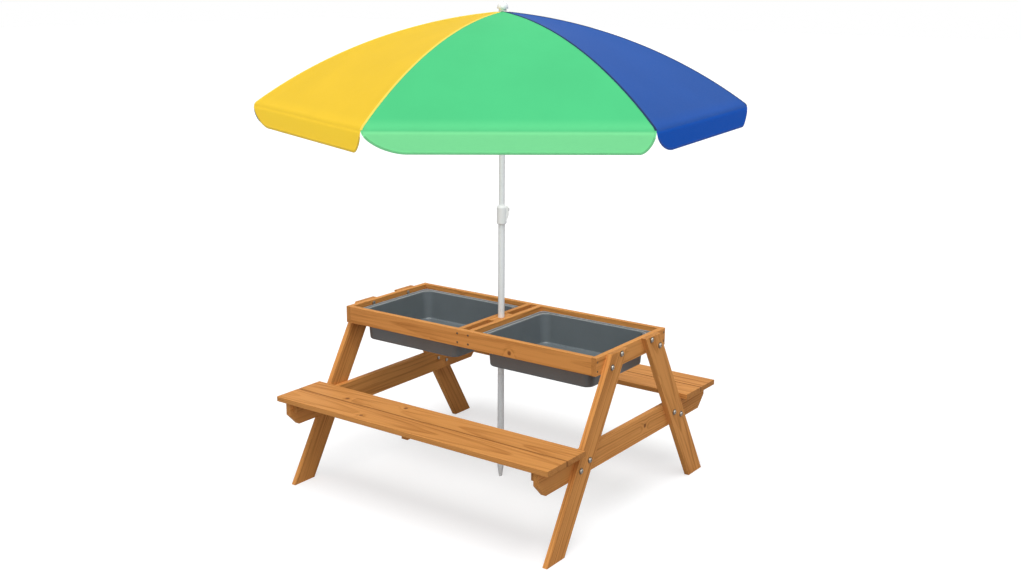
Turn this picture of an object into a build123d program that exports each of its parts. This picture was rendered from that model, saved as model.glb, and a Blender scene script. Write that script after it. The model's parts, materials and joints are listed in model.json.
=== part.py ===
from build123d import *
import math
import os

os.makedirs("parts", exist_ok=True)

# Play table with two benches, two lift-out trays and a folding six-panel sunshade.
# Millimetres, X along the table, Y from front to back, Z up, origin on the ground at the mast.

# Timber frame
board = 15.0
table_height = 495.0
frame_length = 878.0
frame_width = 366.0
rail_depth = 50.0
edge_ease = 1.0
divider_gap = 23.0
block_reach = 45.0
block_height = 40.0
block_drop = 2.0
mast_hole_clearance = 0.4

# Legs and crossbeams
leg_cut_width = 80.0
leg_top_setback = 54.0
leg_foot_reach = 237.0
beam_depth = 70.0
beam_end_height = 35.0
beam_bevel = 34.0

# Benches
seat_height = 277.0
seat_end_reach = 31.0
plank_width = 86.0
plank_gap = 2.0
seat_leg_gap = 8.0
seat_overhang = 5.0
cleat_width = 15.0
cleat_height = 28.0
cleat_end_gap = 12.0
batten_width = 20.0
batten_height = 12.0
batten_end_gap = 12.0

# Wood screws
screw_shank = 3.6
screw_head = 6.6
screw_angle = 82.0
screw_sink = 0.4
screw_point = 4.0
screw_fit = 0.1
screw_pitch = 26.0
frame_screw = 40.0
batten_screw = 24.0
cleat_screw = 36.0
cleat_screw_share = 0.125
bearer_screw_share = 0.33

# Leg bolts
bolt_shank = 6.0
bolt_head = 12.5
bolt_head_height = 3.6
bolt_head_edge = 1.2
bolt_fit = 0.1
washer_diameter = 17.0
washer_thickness = 1.2
nut_flats = 10.0
nut_height = 4.0
rail_bolt_drops = (9.0, 35.5)
beam_bolt_drops = (28.5, 45.5)
bolt_insets = (54.0, 22.5)

# Lift-out trays
tray_rim_drop = 15.0
tray_depth = 88.0
tray_wall = 2.5
tray_flange = 17.0
tray_slack = 1.5
tray_nut_gap = 0.5
tray_rest_gap = 0.3
tray_taper = 4.5
tray_corner = 25.0
tray_rim_corner = 12.0
tray_base_round = 7.0
bearer_width = 13.0
bearer_height = 18.0
bearer_end_gap = 4.0

# Mast tubes
mast_diameter = 19.0
mast_wall = 1.0
tube_fit = 0.05
tip_height = 33.0
tip_point = 9.0
tip_plug = 22.0
joint_height = 320.0
spigot_length = 40.0
swage_length = 4.0
main_tube_top = 800.0
upper_tube_overlap = 230.0

# Height collar and its push button
collar_diameter = 28.0
collar_bottom = 768.0
collar_top = 823.0
collar_neck = 22.0
collar_shoulder = 7.0
collar_skirt = 3.0
boss_angle = 35.7
boss_reach = 20.0
boss_width = 14.0
boss_low = 11.0
boss_rise = 16.0
boss_top_drop = 4.0
button_width = 8.0
button_height = 9.0
button_drop = 17.0
button_stand = 1.5
button_travel = 3.0
button_gap = 0.25

# Canopy
canopy_apex = 1360.0
canopy_reach = 688.0
canopy_drop = 253.0
canopy_crown = 49.5
canopy_sheet = 1.2
canopy_angle = 37.7
panel_count = 6
valance_depth = 57.0
valance_left_width = 85.0
valance_left_height = 52.0
valance_right_corner = 24.0
canopy_seat_gap = 0.3

# Ribs, stretchers, crown hub and runner
rib_width = 3.0
rib_height = 4.0
rib_below_sheet = 4.8
rib_tip_gap = 4.0
rib_tip_width = 5.0
rib_tip_length = 10.0
pivot_radius = 14.0
root_eye = 6.0
root_pin = 2.4
pin_bite = 1.0
slot_side_gap = 0.3
slot_floor_gap = 0.5
joint_eye = 5.6
joint_pin = 2.2
joint_distance = 220.0
stretcher_length = 262.0
stretcher_height = 3.6
fork_depth = 14.0
fork_ear = 1.2
fork_block = 5.0
hub_diameter = 38.0
hub_skirt = 16.0
hub_thickness = 13.0
sleeve_wall = 1.5
runner_diameter = 38.0
runner_flange = 14.0
runner_length = 46.0
runner_grip = 28.0
runner_grip_height = 9.0

# Finial
finial_diameter = 30.0
finial_height = 19.0
finial_neck = 22.0
finial_neck_height = 6.5
finial_stem = 8.0
finial_stem_length = 14.0

sides = (("left", -1), ("right", 1))
rows = (("front", -1), ("back", 1))


def save(part, name):
    part.label = name
    export_step(part, f"parts/{name}.step")


# Where the timber stands
half_length = frame_length / 2
half_width = frame_width / 2
rail_mid = table_height - rail_depth / 2
bay_inner = divider_gap / 2 + board
bay_outer = half_length - board
bay_half_width = half_width - board
leg_slope = (leg_top_setback + leg_foot_reach) / table_height
seat_bottom = seat_height - board
beam_bottom = seat_bottom - beam_depth


def leg_edge(z):
    """Distance from the middle plane to the outer edge of a leg at height z."""
    return half_width - leg_top_setback + (table_height - z) * leg_slope


seat_inner = leg_edge(seat_bottom) + seat_leg_gap
seat_reach = seat_inner + 2 * plank_width + plank_gap
beam_reach = seat_reach - seat_overhang


# Screws and bolts: a place is the middle of a head, with its Z pointing out of the timber
def along(x, y, z, direction):
    return Location(Plane(origin=(x, y, z), z_dir=direction))


def screw_holes(places, length):
    with Locations(*places):
        CounterSinkHole(
            radius=screw_shank / 2 + screw_fit,
            counter_sink_radius=screw_head / 2 + screw_fit,
            depth=length + screw_fit,
            counter_sink_angle=screw_angle,
        )


def screw(length):
    head_depth = (screw_head - screw_shank) / 2 / math.tan(math.radians(screw_angle / 2))
    with BuildPart() as one:
        with BuildSketch(Plane.XZ):
            with BuildLine():
                Polyline(
                    (0, 0),
                    (screw_head / 2, 0),
                    (screw_shank / 2, -head_depth),
                    (screw_shank / 2, screw_point - length),
                    (0, -length),
                    close=True,
                )
            make_face()
        revolve(axis=Axis.Z)
    return one.part


def bolt_holes(places):
    with Locations(*places):
        Hole(radius=bolt_shank / 2 + bolt_fit, depth=2 * board + bolt_fit)


corner_screws = {
    (side, row): [
        along(
            sx * (half_length - screw_sink),
            sy * (half_width - board / 2),
            rail_mid + up * screw_pitch / 2,
            (sx, 0, 0),
        )
        for up in (-1, 1)
    ]
    for side, sx in sides
    for row, sy in rows
}
divider_screws = {
    (side, row): [
        along(
            sx * (divider_gap + board) / 2,
            sy * (half_width - screw_sink),
            rail_mid + up * screw_pitch / 2,
            (0, sy, 0),
        )
        for up in (-1, 1)
    ]
    for side, sx in sides
    for row, sy in rows
}
block_middle = table_height - block_drop - block_height / 2
block_screws = {
    (side, row): [
        along(
            sx * (bay_inner - screw_sink),
            sy * (block_reach + mast_diameter / 2) / 2,
            block_middle,
            (sx, 0, 0),
        )
    ]
    for side, sx in sides
    for row, sy in rows
}


def leg_bolts(sx, sy, tops_and_drops):
    places = []
    for (top, drop), inset in zip(tops_and_drops, bolt_insets):
        z = top - drop
        y = sy * (leg_edge(z) - inset)
        places.append(along(sx * (half_length + board), y, z, (sx, 0, 0)))
    return places


rail_bolts = {
    (side, row): leg_bolts(sx, sy, [(table_height, drop) for drop in rail_bolt_drops])
    for side, sx in sides
    for row, sy in rows
}
beam_bolts = {
    (side, row): leg_bolts(sx, sy, [(seat_bottom, drop) for drop in beam_bolt_drops])
    for side, sx in sides
    for row, sy in rows
}


# Bearers that carry the tray rims along the long rails
tray_rim_top = table_height - tray_rim_drop
bearer_top = tray_rim_top - tray_wall - tray_rest_gap
bearer_length = bay_outer - bay_inner - 2 * bearer_end_gap
bay_middle = (bay_inner + bay_outer) / 2


def bearer_screw_places(sx, sy):
    z = bearer_top - bearer_height / 2
    y = sy * (bay_half_width - bearer_width + screw_sink)
    spread = bearer_length * bearer_screw_share
    return [along(sx * bay_middle + end * spread, y, z, (0, -sy, 0)) for end in (-1, 1)]


# Frame of the table top
def long_rail(row, sy):
    with BuildPart() as rail:
        with Locations((0, sy * (half_width - board / 2), rail_mid)):
            Box(frame_length - 2 * board, board, rail_depth)
        chamfer(rail.edges().filter_by(Axis.X), length=edge_ease)
        for side, sx in sides:
            screw_holes(corner_screws[side, row] + divider_screws[side, row], frame_screw)
            screw_holes(bearer_screw_places(sx, sy), batten_screw)
    return rail.part


def end_rail(side, sx):
    with BuildPart() as rail:
        with Locations((sx * (half_length - board / 2), 0, rail_mid)):
            Box(board, frame_width, rail_depth)
        chamfer(rail.edges().filter_by(Axis.Y), length=edge_ease)
        for row, sy in rows:
            screw_holes(corner_screws[side, row], frame_screw)
            bolt_holes(rail_bolts[side, row])
    return rail.part


def divider(side, sx):
    with BuildPart() as rail:
        with Locations((sx * (divider_gap + board) / 2, 0, rail_mid)):
            Box(board, 2 * bay_half_width, rail_depth)
        chamfer(rail.edges().filter_by(Axis.Y), length=edge_ease)
        for row, sy in rows:
            screw_holes(divider_screws[side, row], frame_screw)
            screw_holes(block_screws[side, row], batten_screw)
    return rail.part


def mast_block(row, sy):
    """Half of the socket that holds the mast between the two dividers."""
    with BuildPart() as block:
        with BuildSketch(Plane.XY.offset(block_middle - block_height / 2)):
            with Locations((0, sy * block_reach / 2)):
                Rectangle(divider_gap, block_reach)
            Circle(mast_diameter / 2 + mast_hole_clearance, mode=Mode.SUBTRACT)
        extrude(amount=block_height)
        for side, sx in sides:
            screw_holes(block_screws[side, row], batten_screw)
    return block.part


for row, sy in rows:
    save(long_rail(row, sy), f"long_rail_{row}")
    save(mast_block(row, sy), f"mast_block_{row}")
for side, sx in sides:
    save(end_rail(side, sx), f"end_rail_{side}")
    save(divider(side, sx), f"divider_{side}")


def bearer(sx, sy):
    with BuildPart() as strip:
        with Locations(
            (sx * bay_middle, sy * (bay_half_width - bearer_width / 2), bearer_top - bearer_height / 2)
        ):
            Box(bearer_length, bearer_width, bearer_height)
        screw_holes(bearer_screw_places(sx, sy), batten_screw)
    return strip.part


for side, sx in sides:
    for row, sy in rows:
        save(bearer(sx, sy), f"tray_bearer_{row}_{side}")


# Legs lean out from the end rails, crossbeams tie them and carry the benches
def leg(side, sx, row, sy):
    top = leg_edge(table_height)
    foot = leg_edge(0)
    with BuildPart() as post:
        with BuildSketch(Plane.YZ.offset(sx * half_length)):
            with BuildLine():
                Polyline(
                    (sy * top, table_height),
                    (sy * foot, 0),
                    (sy * (foot - leg_cut_width), 0),
                    (sy * (top - leg_cut_width), table_height),
                    close=True,
                )
            make_face()
        extrude(amount=sx * board)
        outside = post.faces().filter_by(Axis.X).sort_by(Axis.X)[-1 if sx > 0 else 0]
        chamfer(outside.edges(), length=edge_ease)
        bolt_holes(rail_bolts[side, row] + beam_bolts[side, row])
    return post.part


def crossbeam(side, sx):
    with BuildPart() as beam:
        with BuildSketch(Plane.YZ.offset(sx * (half_length - board))):
            with BuildLine():
                Polyline(
                    (-beam_reach, seat_bottom),
                    (-beam_reach, seat_bottom - beam_end_height),
                    (beam_bevel - beam_reach, beam_bottom),
                    (beam_reach - beam_bevel, beam_bottom),
                    (beam_reach, seat_bottom - beam_end_height),
                    (beam_reach, seat_bottom),
                    close=True,
                )
            make_face()
        extrude(amount=sx * board)
        for row, sy in rows:
            bolt_holes(beam_bolts[side, row])
            screw_holes(cleat_side_places(sx, sy), batten_screw)
    return beam.part


# Benches: two planks each, on a cleat at either end and a batten in the middle
cleat_length = beam_reach - cleat_end_gap - seat_inner
cleat_middle = seat_inner + cleat_length / 2
plank_middles = (seat_inner + plank_width / 2, seat_reach - plank_width / 2)


def cleat_side_places(sx, sy):
    x = sx * (bay_outer - cleat_width + screw_sink)
    z = seat_bottom - cleat_height / 2
    spread = cleat_length * cleat_screw_share
    return [along(x, sy * (cleat_middle + end * spread), z, (-sx, 0, 0)) for end in (-1, 1)]


def cleat_up_places(sx, sy):
    x = sx * (bay_outer - cleat_width / 2)
    z = seat_bottom - cleat_height + screw_sink
    return [along(x, sy * y, z, (0, 0, -1)) for y in plank_middles]


def batten_up_places(sy):
    z = seat_bottom - batten_height + screw_sink
    return [along(0, sy * y, z, (0, 0, -1)) for y in plank_middles]


def seat_cleat(sx, sy):
    with BuildPart() as cleat:
        with Locations(
            (
                sx * (bay_outer - cleat_width / 2),
                sy * cleat_middle,
                seat_bottom - cleat_height / 2,
            )
        ):
            Box(cleat_width, cleat_length, cleat_height)
        screw_holes(cleat_side_places(sx, sy), batten_screw)
        screw_holes(cleat_up_places(sx, sy), cleat_screw)
    return cleat.part


def seat_batten(sy):
    length = seat_reach - seat_inner - 2 * batten_end_gap
    with BuildPart() as batten:
        with Locations((0, sy * (seat_inner + seat_reach) / 2, seat_bottom - batten_height / 2)):
            Box(batten_width, length, batten_height)
        screw_holes(batten_up_places(sy), batten_screw)
    return batten.part


def seat_plank(sy, middle):
    with BuildPart() as plank:
        with Locations((0, sy * middle, seat_height - board / 2)):
            Box(frame_length + 2 * seat_end_reach, plank_width, board)
        chamfer(plank.edges().filter_by(Axis.X), length=edge_ease)
        for side, sx in sides:
            screw_holes(cleat_up_places(sx, sy), cleat_screw)
        screw_holes(batten_up_places(sy), batten_screw)
    return plank.part


for side, sx in sides:
    save(crossbeam(side, sx), f"crossbeam_{side}")
    for row, sy in rows:
        save(leg(side, sx, row, sy), f"leg_{row}_{side}")
        save(seat_cleat(sx, sy), f"seat_cleat_{row}_{side}")
for row, sy in rows:
    save(seat_batten(sy), f"seat_batten_{row}")
    for place, middle in zip(("inner", "outer"), plank_middles):
        save(seat_plank(sy, middle), f"seat_{row}_{place}")


# Screws, bolts and nuts as groups of separate solids
def screw_group(lists_and_lengths):
    with BuildPart() as group:
        for places, length in lists_and_lengths:
            one = screw(length)
            with Locations(*places):
                add(one)
    return group.part


def flatten(lists):
    return [place for places in lists for place in places]


frame_places = flatten(corner_screws.values()) + flatten(divider_screws.values())
corners = [(sx, sy) for side, sx in sides for row, sy in rows]
save(screw_group([(frame_places, frame_screw)]), "frame_screws")
save(
    screw_group(
        [
            (flatten(block_screws.values()), batten_screw),
            (flatten(bearer_screw_places(sx, sy) for sx, sy in corners), batten_screw),
            (flatten(cleat_side_places(sx, sy) for sx, sy in corners), batten_screw),
            (flatten(batten_up_places(sy) for row, sy in rows), batten_screw),
            (flatten(cleat_up_places(sx, sy) for sx, sy in corners), cleat_screw),
        ]
    ),
    "batten_screws",
)

bolt_places = flatten(rail_bolts.values()) + flatten(beam_bolts.values())
with BuildPart() as leg_bolt:
    with BuildSketch(Plane.XY.offset(washer_thickness)):
        Circle(bolt_head / 2)
    extrude(amount=bolt_head_height)
    chamfer(leg_bolt.faces().sort_by(Axis.Z)[-1].edges(), length=bolt_head_edge)
    with BuildSketch(Plane.XY.offset(washer_thickness)):
        Circle(bolt_shank / 2)
    extrude(amount=-2 * board - nut_height - washer_thickness)
with BuildPart() as leg_washer:
    with BuildSketch():
        Circle(washer_diameter / 2)
        Circle(bolt_shank / 2 + bolt_fit, mode=Mode.SUBTRACT)
    extrude(amount=washer_thickness)
with BuildPart() as leg_nut:
    with BuildSketch(Plane.XY.offset(-2 * board)):
        RegularPolygon(radius=nut_flats / 2, side_count=6, major_radius=False)
        Circle(bolt_shank / 2 + bolt_fit, mode=Mode.SUBTRACT)
    extrude(amount=-nut_height)
for fastener, name in (
    (leg_bolt, "leg_bolts"),
    (leg_washer, "leg_washers"),
    (leg_nut, "leg_nuts"),
):
    with BuildPart() as group:
        with Locations(*bolt_places):
            add(fastener.part)
    save(group.part, name)

# Trays hang by their rims on the bearers
rim_length = bay_outer - bay_inner - 2 * (nut_height + tray_nut_gap)
rim_width = 2 * (bay_half_width - tray_slack)
tray_shrink = (tray_depth - tray_wall) * math.tan(math.radians(tray_taper))


def tapered_block(plane, length, width, corner, height, base_round):
    """A block with rounded corners that widens towards its top, with a rounded base."""
    with BuildPart() as block:
        with BuildSketch(plane):
            RectangleRounded(length, width, corner)
        extrude(amount=height, taper=-tray_taper)
        fillet(block.faces().sort_by(Axis.Z)[0].edges(), radius=base_round)
    return block.part


def tray(sx):
    mouth_length = rim_length - 2 * tray_flange
    mouth_width = rim_width - 2 * tray_flange
    base_length = mouth_length - 2 * tray_shrink
    base_width = mouth_width - 2 * tray_shrink
    base = Plane(origin=(sx * bay_middle, 0, tray_rim_top - tray_depth))
    rim = Plane(origin=(sx * bay_middle, 0, tray_rim_top - tray_wall))
    outside = tapered_block(
        base, base_length, base_width, tray_corner, tray_depth, tray_base_round
    )
    inside = tapered_block(
        base.offset(tray_wall),
        base_length - 2 * tray_wall,
        base_width - 2 * tray_wall,
        tray_corner - tray_wall,
        tray_depth,
        tray_base_round - tray_wall,
    )
    with BuildPart() as shell:
        add(outside)
        with BuildSketch(rim):
            RectangleRounded(rim_length, rim_width, tray_rim_corner)
        extrude(amount=tray_wall)
        add(inside, mode=Mode.SUBTRACT)
    return shell.part


for side, sx in sides:
    save(tray(sx), f"tray_{side}")

# Mast: a ground tube with a plastic tip, a main tube swaged into it, a collar and an upper tube
mast_radius = mast_diameter / 2
bore_radius = mast_radius - mast_wall
upper_radius = bore_radius - tube_fit

with BuildPart() as mast_tip:
    with BuildSketch(Plane.XZ):
        with BuildLine():
            Polyline(
                (0, 0),
                (tip_point / 2, 0),
                (mast_radius, tip_height),
                (upper_radius, tip_height),
                (upper_radius, tip_height + tip_plug),
                (0, tip_height + tip_plug),
                close=True,
            )
        make_face()
    revolve(axis=Axis.Z)
save(mast_tip.part, "mast_tip")

with BuildPart() as ground_tube:
    with BuildSketch(Plane.XY.offset(tip_height + tube_fit)):
        Circle(mast_radius)
        Circle(bore_radius, mode=Mode.SUBTRACT)
    extrude(amount=joint_height - tip_height - tube_fit)
save(ground_tube.part, "ground_tube")

with BuildPart() as main_tube:
    with BuildSketch(Plane.XZ):
        with BuildLine():
            Polyline(
                (upper_radius - mast_wall, joint_height - spigot_length),
                (upper_radius, joint_height - spigot_length),
                (upper_radius, joint_height),
                (mast_radius, joint_height + swage_length),
                (mast_radius, main_tube_top),
                (bore_radius, main_tube_top),
                (bore_radius, joint_height + 2 * swage_length),
                (upper_radius - mast_wall, joint_height + swage_length),
                close=True,
            )
        make_face()
    revolve(axis=Axis.Z)
save(main_tube.part, "main_tube")

# Collar: the main tube ends inside it and the upper tube slides through it
collar_radius = collar_diameter / 2
boss_plane = Plane(
    origin=(0, 0, 0),
    x_dir=(math.cos(math.radians(boss_angle)), math.sin(math.radians(boss_angle)), 0),
    z_dir=(math.sin(math.radians(boss_angle)), -math.cos(math.radians(boss_angle)), 0),
)
button_inner = upper_radius + button_gap + button_travel
button_low = collar_top - button_drop

with BuildPart() as height_collar:
    with BuildSketch(Plane.XZ):
        with BuildLine():
            Polyline(
                (0, collar_bottom),
                (collar_radius - collar_skirt, collar_bottom),
                (collar_radius, collar_bottom + collar_skirt),
                (collar_radius, collar_top - collar_shoulder),
                (collar_neck / 2, collar_top),
                (0, collar_top),
                close=True,
            )
        make_face()
    revolve(axis=Axis.Z)
    with BuildSketch(boss_plane):
        with BuildLine():
            Polyline(
                (0, collar_bottom + boss_low),
                (collar_radius, collar_bottom + boss_low),
                (boss_reach, collar_bottom + boss_low + boss_rise),
                (boss_reach, collar_top - boss_top_drop - collar_skirt),
                (boss_reach - collar_skirt, collar_top - boss_top_drop),
                (0, collar_top - boss_top_drop),
                close=True,
            )
        make_face()
    extrude(amount=boss_width / 2, both=True)
    with BuildSketch(Plane.XY.offset(collar_bottom)):
        Circle(mast_radius + tube_fit)
    extrude(amount=main_tube_top - collar_bottom, mode=Mode.SUBTRACT)
    with BuildSketch(Plane.XY.offset(collar_bottom)):
        Circle(upper_radius + tube_fit)
    extrude(amount=collar_top - collar_bottom, mode=Mode.SUBTRACT)
    with BuildSketch(boss_plane):
        with Locations((boss_reach / 2, button_low + button_height / 2)):
            Rectangle(boss_reach, button_height + 2 * button_gap)
    extrude(amount=button_width / 2 + button_gap, both=True, mode=Mode.SUBTRACT)
save(height_collar.part, "height_collar")

with BuildPart() as lock_button:
    button_outer = boss_reach + button_stand
    with BuildSketch(boss_plane):
        with Locations(((button_inner + button_outer) / 2, button_low + button_height / 2)):
            Rectangle(button_outer - button_inner, button_height)
    extrude(amount=button_width / 2, both=True)
    face = lock_button.faces().sort_by(Axis(origin=(0, 0, 0), direction=boss_plane.x_dir))[-1]
    chamfer(face.edges(), length=edge_ease)
save(lock_button.part, "lock_button")

# Curve of the canopy along a rib, from the apex to a corner
chord = math.hypot(canopy_reach, canopy_drop)
curve_radius = chord**2 / (8 * canopy_crown) + canopy_crown / 2
curve_r = canopy_reach / 2 - canopy_drop / chord * (curve_radius - canopy_crown)
curve_z = canopy_apex - canopy_drop / 2 - canopy_reach / chord * (curve_radius - canopy_crown)


def curve_height(r, below=0.0):
    """Height of the canopy curve at radius r, or of the curve a distance below it."""
    return curve_z + math.sqrt((curve_radius - below) ** 2 - (r - curve_r) ** 2)


def curve_point(r, below=0.0):
    return (r, curve_height(r, below))


def curve_arc(inner, outer, below, squeeze=1.0):
    """The canopy curve between two radii, squeezed towards the mast."""
    points = [curve_point(r, below) for r in (inner, (inner + outer) / 2, outer)]
    return ThreePointArc(*[(r * squeeze, z) for r, z in points])


def rib_plane(angle):
    turn = math.radians(angle)
    return Plane(
        origin=(0, 0, 0),
        x_dir=(math.cos(turn), math.sin(turn), 0),
        z_dir=(math.sin(turn), -math.cos(turn), 0),
    )


half_panel = math.pi / panel_count
panel_squeeze = math.cos(half_panel)
rib_angles = [canopy_angle + 360 / panel_count * number for number in range(panel_count)]
rib_root = curve_point(pivot_radius, rib_below_sheet)
rib_tip_radius = canopy_reach - rib_tip_gap
joint_turn = 2 * math.asin(joint_distance / 2 / (curve_radius - rib_below_sheet))
root_turn = math.asin((pivot_radius - curve_r) / (curve_radius - rib_below_sheet))
rib_joint = (
    curve_r + (curve_radius - rib_below_sheet) * math.sin(root_turn + joint_turn),
    curve_z + (curve_radius - rib_below_sheet) * math.cos(root_turn + joint_turn),
)
runner_drop = math.sqrt(stretcher_length**2 - (rib_joint[0] - pivot_radius) ** 2)
runner_pivot = (pivot_radius, rib_joint[1] - runner_drop)


# Rib: a flat steel bar on edge with an eye at its root, an eye for the stretcher and a flat tip
def rib(angle):
    high = rib_below_sheet - rib_height / 2
    low = rib_below_sheet + rib_height / 2
    with BuildPart() as bar:
        with BuildSketch(rib_plane(angle)):
            with BuildLine():
                top = curve_arc(pivot_radius, rib_tip_radius, high)
                bottom = curve_arc(pivot_radius, rib_tip_radius, low)
                Line(top @ 0, bottom @ 0)
                Line(top @ 1, bottom @ 1)
            make_face()
            with Locations(rib_root):
                Circle(root_eye / 2)
                Circle(root_pin / 2 + tube_fit, mode=Mode.SUBTRACT)
            with Locations(rib_joint):
                Circle(joint_eye / 2)
                Circle(joint_pin / 2 + tube_fit, mode=Mode.SUBTRACT)
        extrude(amount=rib_width / 2, both=True)
        with BuildSketch(rib_plane(angle)):
            with BuildLine():
                top = curve_arc(rib_tip_radius - rib_tip_length, rib_tip_radius, high)
                bottom = curve_arc(rib_tip_radius - rib_tip_length, rib_tip_radius, low)
                Line(top @ 0, bottom @ 0)
                Line(top @ 1, bottom @ 1)
            make_face()
        extrude(amount=rib_tip_width / 2, both=True)
    return bar.part


# Stretcher: a bar with a fork that straddles the rib and an eye in a slot of the runner
fork_half = rib_width / 2 + slot_side_gap + fork_ear
stretcher_lean = math.degrees(math.pi + math.atan2(runner_drop, rib_joint[0] - pivot_radius))
rib_joint_turned = Location((rib_joint[0], rib_joint[1], 0), (0, 0, stretcher_lean))
fork_radius = joint_eye / 2


def stretcher(angle):
    flat = rib_plane(angle)
    with BuildPart() as strut:
        with BuildSketch(flat):
            with Locations(rib_joint_turned):
                with Locations((stretcher_length / 2, 0)):
                    Rectangle(stretcher_length, stretcher_height)
                with Locations((stretcher_length, 0)):
                    Circle(joint_eye / 2)
                    Circle(joint_pin / 2, mode=Mode.SUBTRACT)
        extrude(amount=rib_width / 2, both=True)
        with BuildSketch(flat):
            with Locations(rib_joint_turned):
                Circle(fork_radius)
                with Locations(((fork_depth + fork_block) / 2, 0)):
                    Rectangle(fork_depth + fork_block, stretcher_height)
        extrude(amount=fork_half, both=True)
        with BuildSketch(flat):
            with Locations(rib_joint_turned):
                with Locations(((fork_depth - fork_radius) / 2, 0)):
                    Rectangle(fork_depth + fork_radius, 2 * fork_radius)
        extrude(amount=rib_width / 2 + slot_side_gap, both=True, mode=Mode.SUBTRACT)
        with BuildSketch(flat):
            with Locations(rib_joint):
                Circle(joint_pin / 2)
        extrude(amount=fork_half, both=True)
    return strut.part


for number, angle in enumerate(rib_angles, start=1):
    save(rib(angle), f"rib_{number}")
    save(stretcher(angle), f"stretcher_{number}")

# Upper tube, crown hub with a slot and a pin for each rib, and the sliding runner
slot_half = rib_width / 2 + slot_side_gap
slot_floor = pivot_radius - root_eye / 2 - slot_floor_gap
sleeve_radius = upper_radius + tube_fit + sleeve_wall
hub_bottom = canopy_apex - hub_thickness
tube_top = hub_bottom + slot_floor_gap
upper_tube_bottom = main_tube_top - upper_tube_overlap

with BuildPart() as upper_tube:
    with BuildSketch(Plane.XY.offset(upper_tube_bottom)):
        Circle(upper_radius)
        Circle(upper_radius - mast_wall, mode=Mode.SUBTRACT)
    extrude(amount=tube_top - upper_tube_bottom)
save(upper_tube.part, "upper_tube")


def radial_slots(bottom, top):
    """Slots that are open at their outer ends, one for each rib."""
    for angle in rib_angles:
        with BuildSketch(rib_plane(angle)) as slot:
            with Locations((slot_floor + hub_diameter / 2, (bottom + top) / 2)):
                Rectangle(hub_diameter, top - bottom)
        extrude(slot.sketch, amount=slot_half, both=True, mode=Mode.SUBTRACT)


hub_cover = canopy_sheet + canopy_seat_gap
with BuildPart() as crown_hub:
    with BuildSketch(Plane.XZ):
        with BuildLine():
            crown = curve_arc(0, hub_diameter / 2 / panel_squeeze, hub_cover, panel_squeeze)
            Polyline(
                crown @ 1,
                (hub_diameter / 2, hub_bottom),
                (sleeve_radius, hub_bottom),
                (sleeve_radius, hub_bottom - hub_skirt),
                (upper_radius + tube_fit, hub_bottom - hub_skirt),
                (upper_radius + tube_fit, tube_top),
                (0, tube_top),
                crown @ 0,
            )
        make_face()
    revolve(axis=Axis.Z)
    with Locations((0, 0, canopy_apex)):
        Hole(radius=finial_stem / 2 + tube_fit)
    radial_slots(hub_bottom, canopy_apex)
    for angle in rib_angles:
        with BuildSketch(rib_plane(angle)):
            with Locations(rib_root):
                Circle(root_pin / 2)
        extrude(amount=slot_half + pin_bite, both=True)
save(crown_hub.part, "crown_hub")

runner_top = runner_pivot[1] + runner_flange / 2
runner_bottom = runner_top - runner_length
with BuildPart() as runner:
    with BuildSketch(Plane.XZ):
        with BuildLine():
            Polyline(
                (upper_radius + tube_fit, runner_top),
                (runner_diameter / 2, runner_top),
                (runner_diameter / 2, runner_top - runner_flange),
                (sleeve_radius, runner_top - runner_flange),
                (sleeve_radius, runner_bottom + runner_grip_height),
                (runner_grip / 2, runner_bottom + runner_grip_height),
                (runner_grip / 2, runner_bottom),
                (upper_radius + tube_fit, runner_bottom),
                close=True,
            )
        make_face()
    revolve(axis=Axis.Z)
    radial_slots(runner_top - runner_flange, runner_top)
save(runner.part, "runner")

# Finial: a shallow dome whose stem passes through the canopy into the hub
finial_base = canopy_apex + canopy_seat_gap
dome_base = finial_base + finial_neck_height
dome_middle = (finial_height**2 - (finial_diameter / 2) ** 2) / (2 * finial_height)
dome_radius = finial_height - dome_middle
with BuildPart() as finial:
    with BuildSketch(Plane.XZ):
        with BuildLine():
            dome = ThreePointArc(
                (finial_diameter / 2, dome_base),
                (dome_radius * math.sqrt(1 / 2), dome_base + dome_middle + dome_radius * math.sqrt(1 / 2)),
                (0, dome_base + finial_height),
            )
            Polyline(
                dome @ 1,
                (0, finial_base - finial_stem_length),
                (finial_stem / 2, finial_base - finial_stem_length),
                (finial_stem / 2, finial_base),
                (finial_neck / 2, finial_base),
                (finial_neck / 2, dome_base),
                dome @ 0,
            )
        make_face()
    revolve(axis=Axis.Z)
save(finial.part, "finial")


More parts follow.
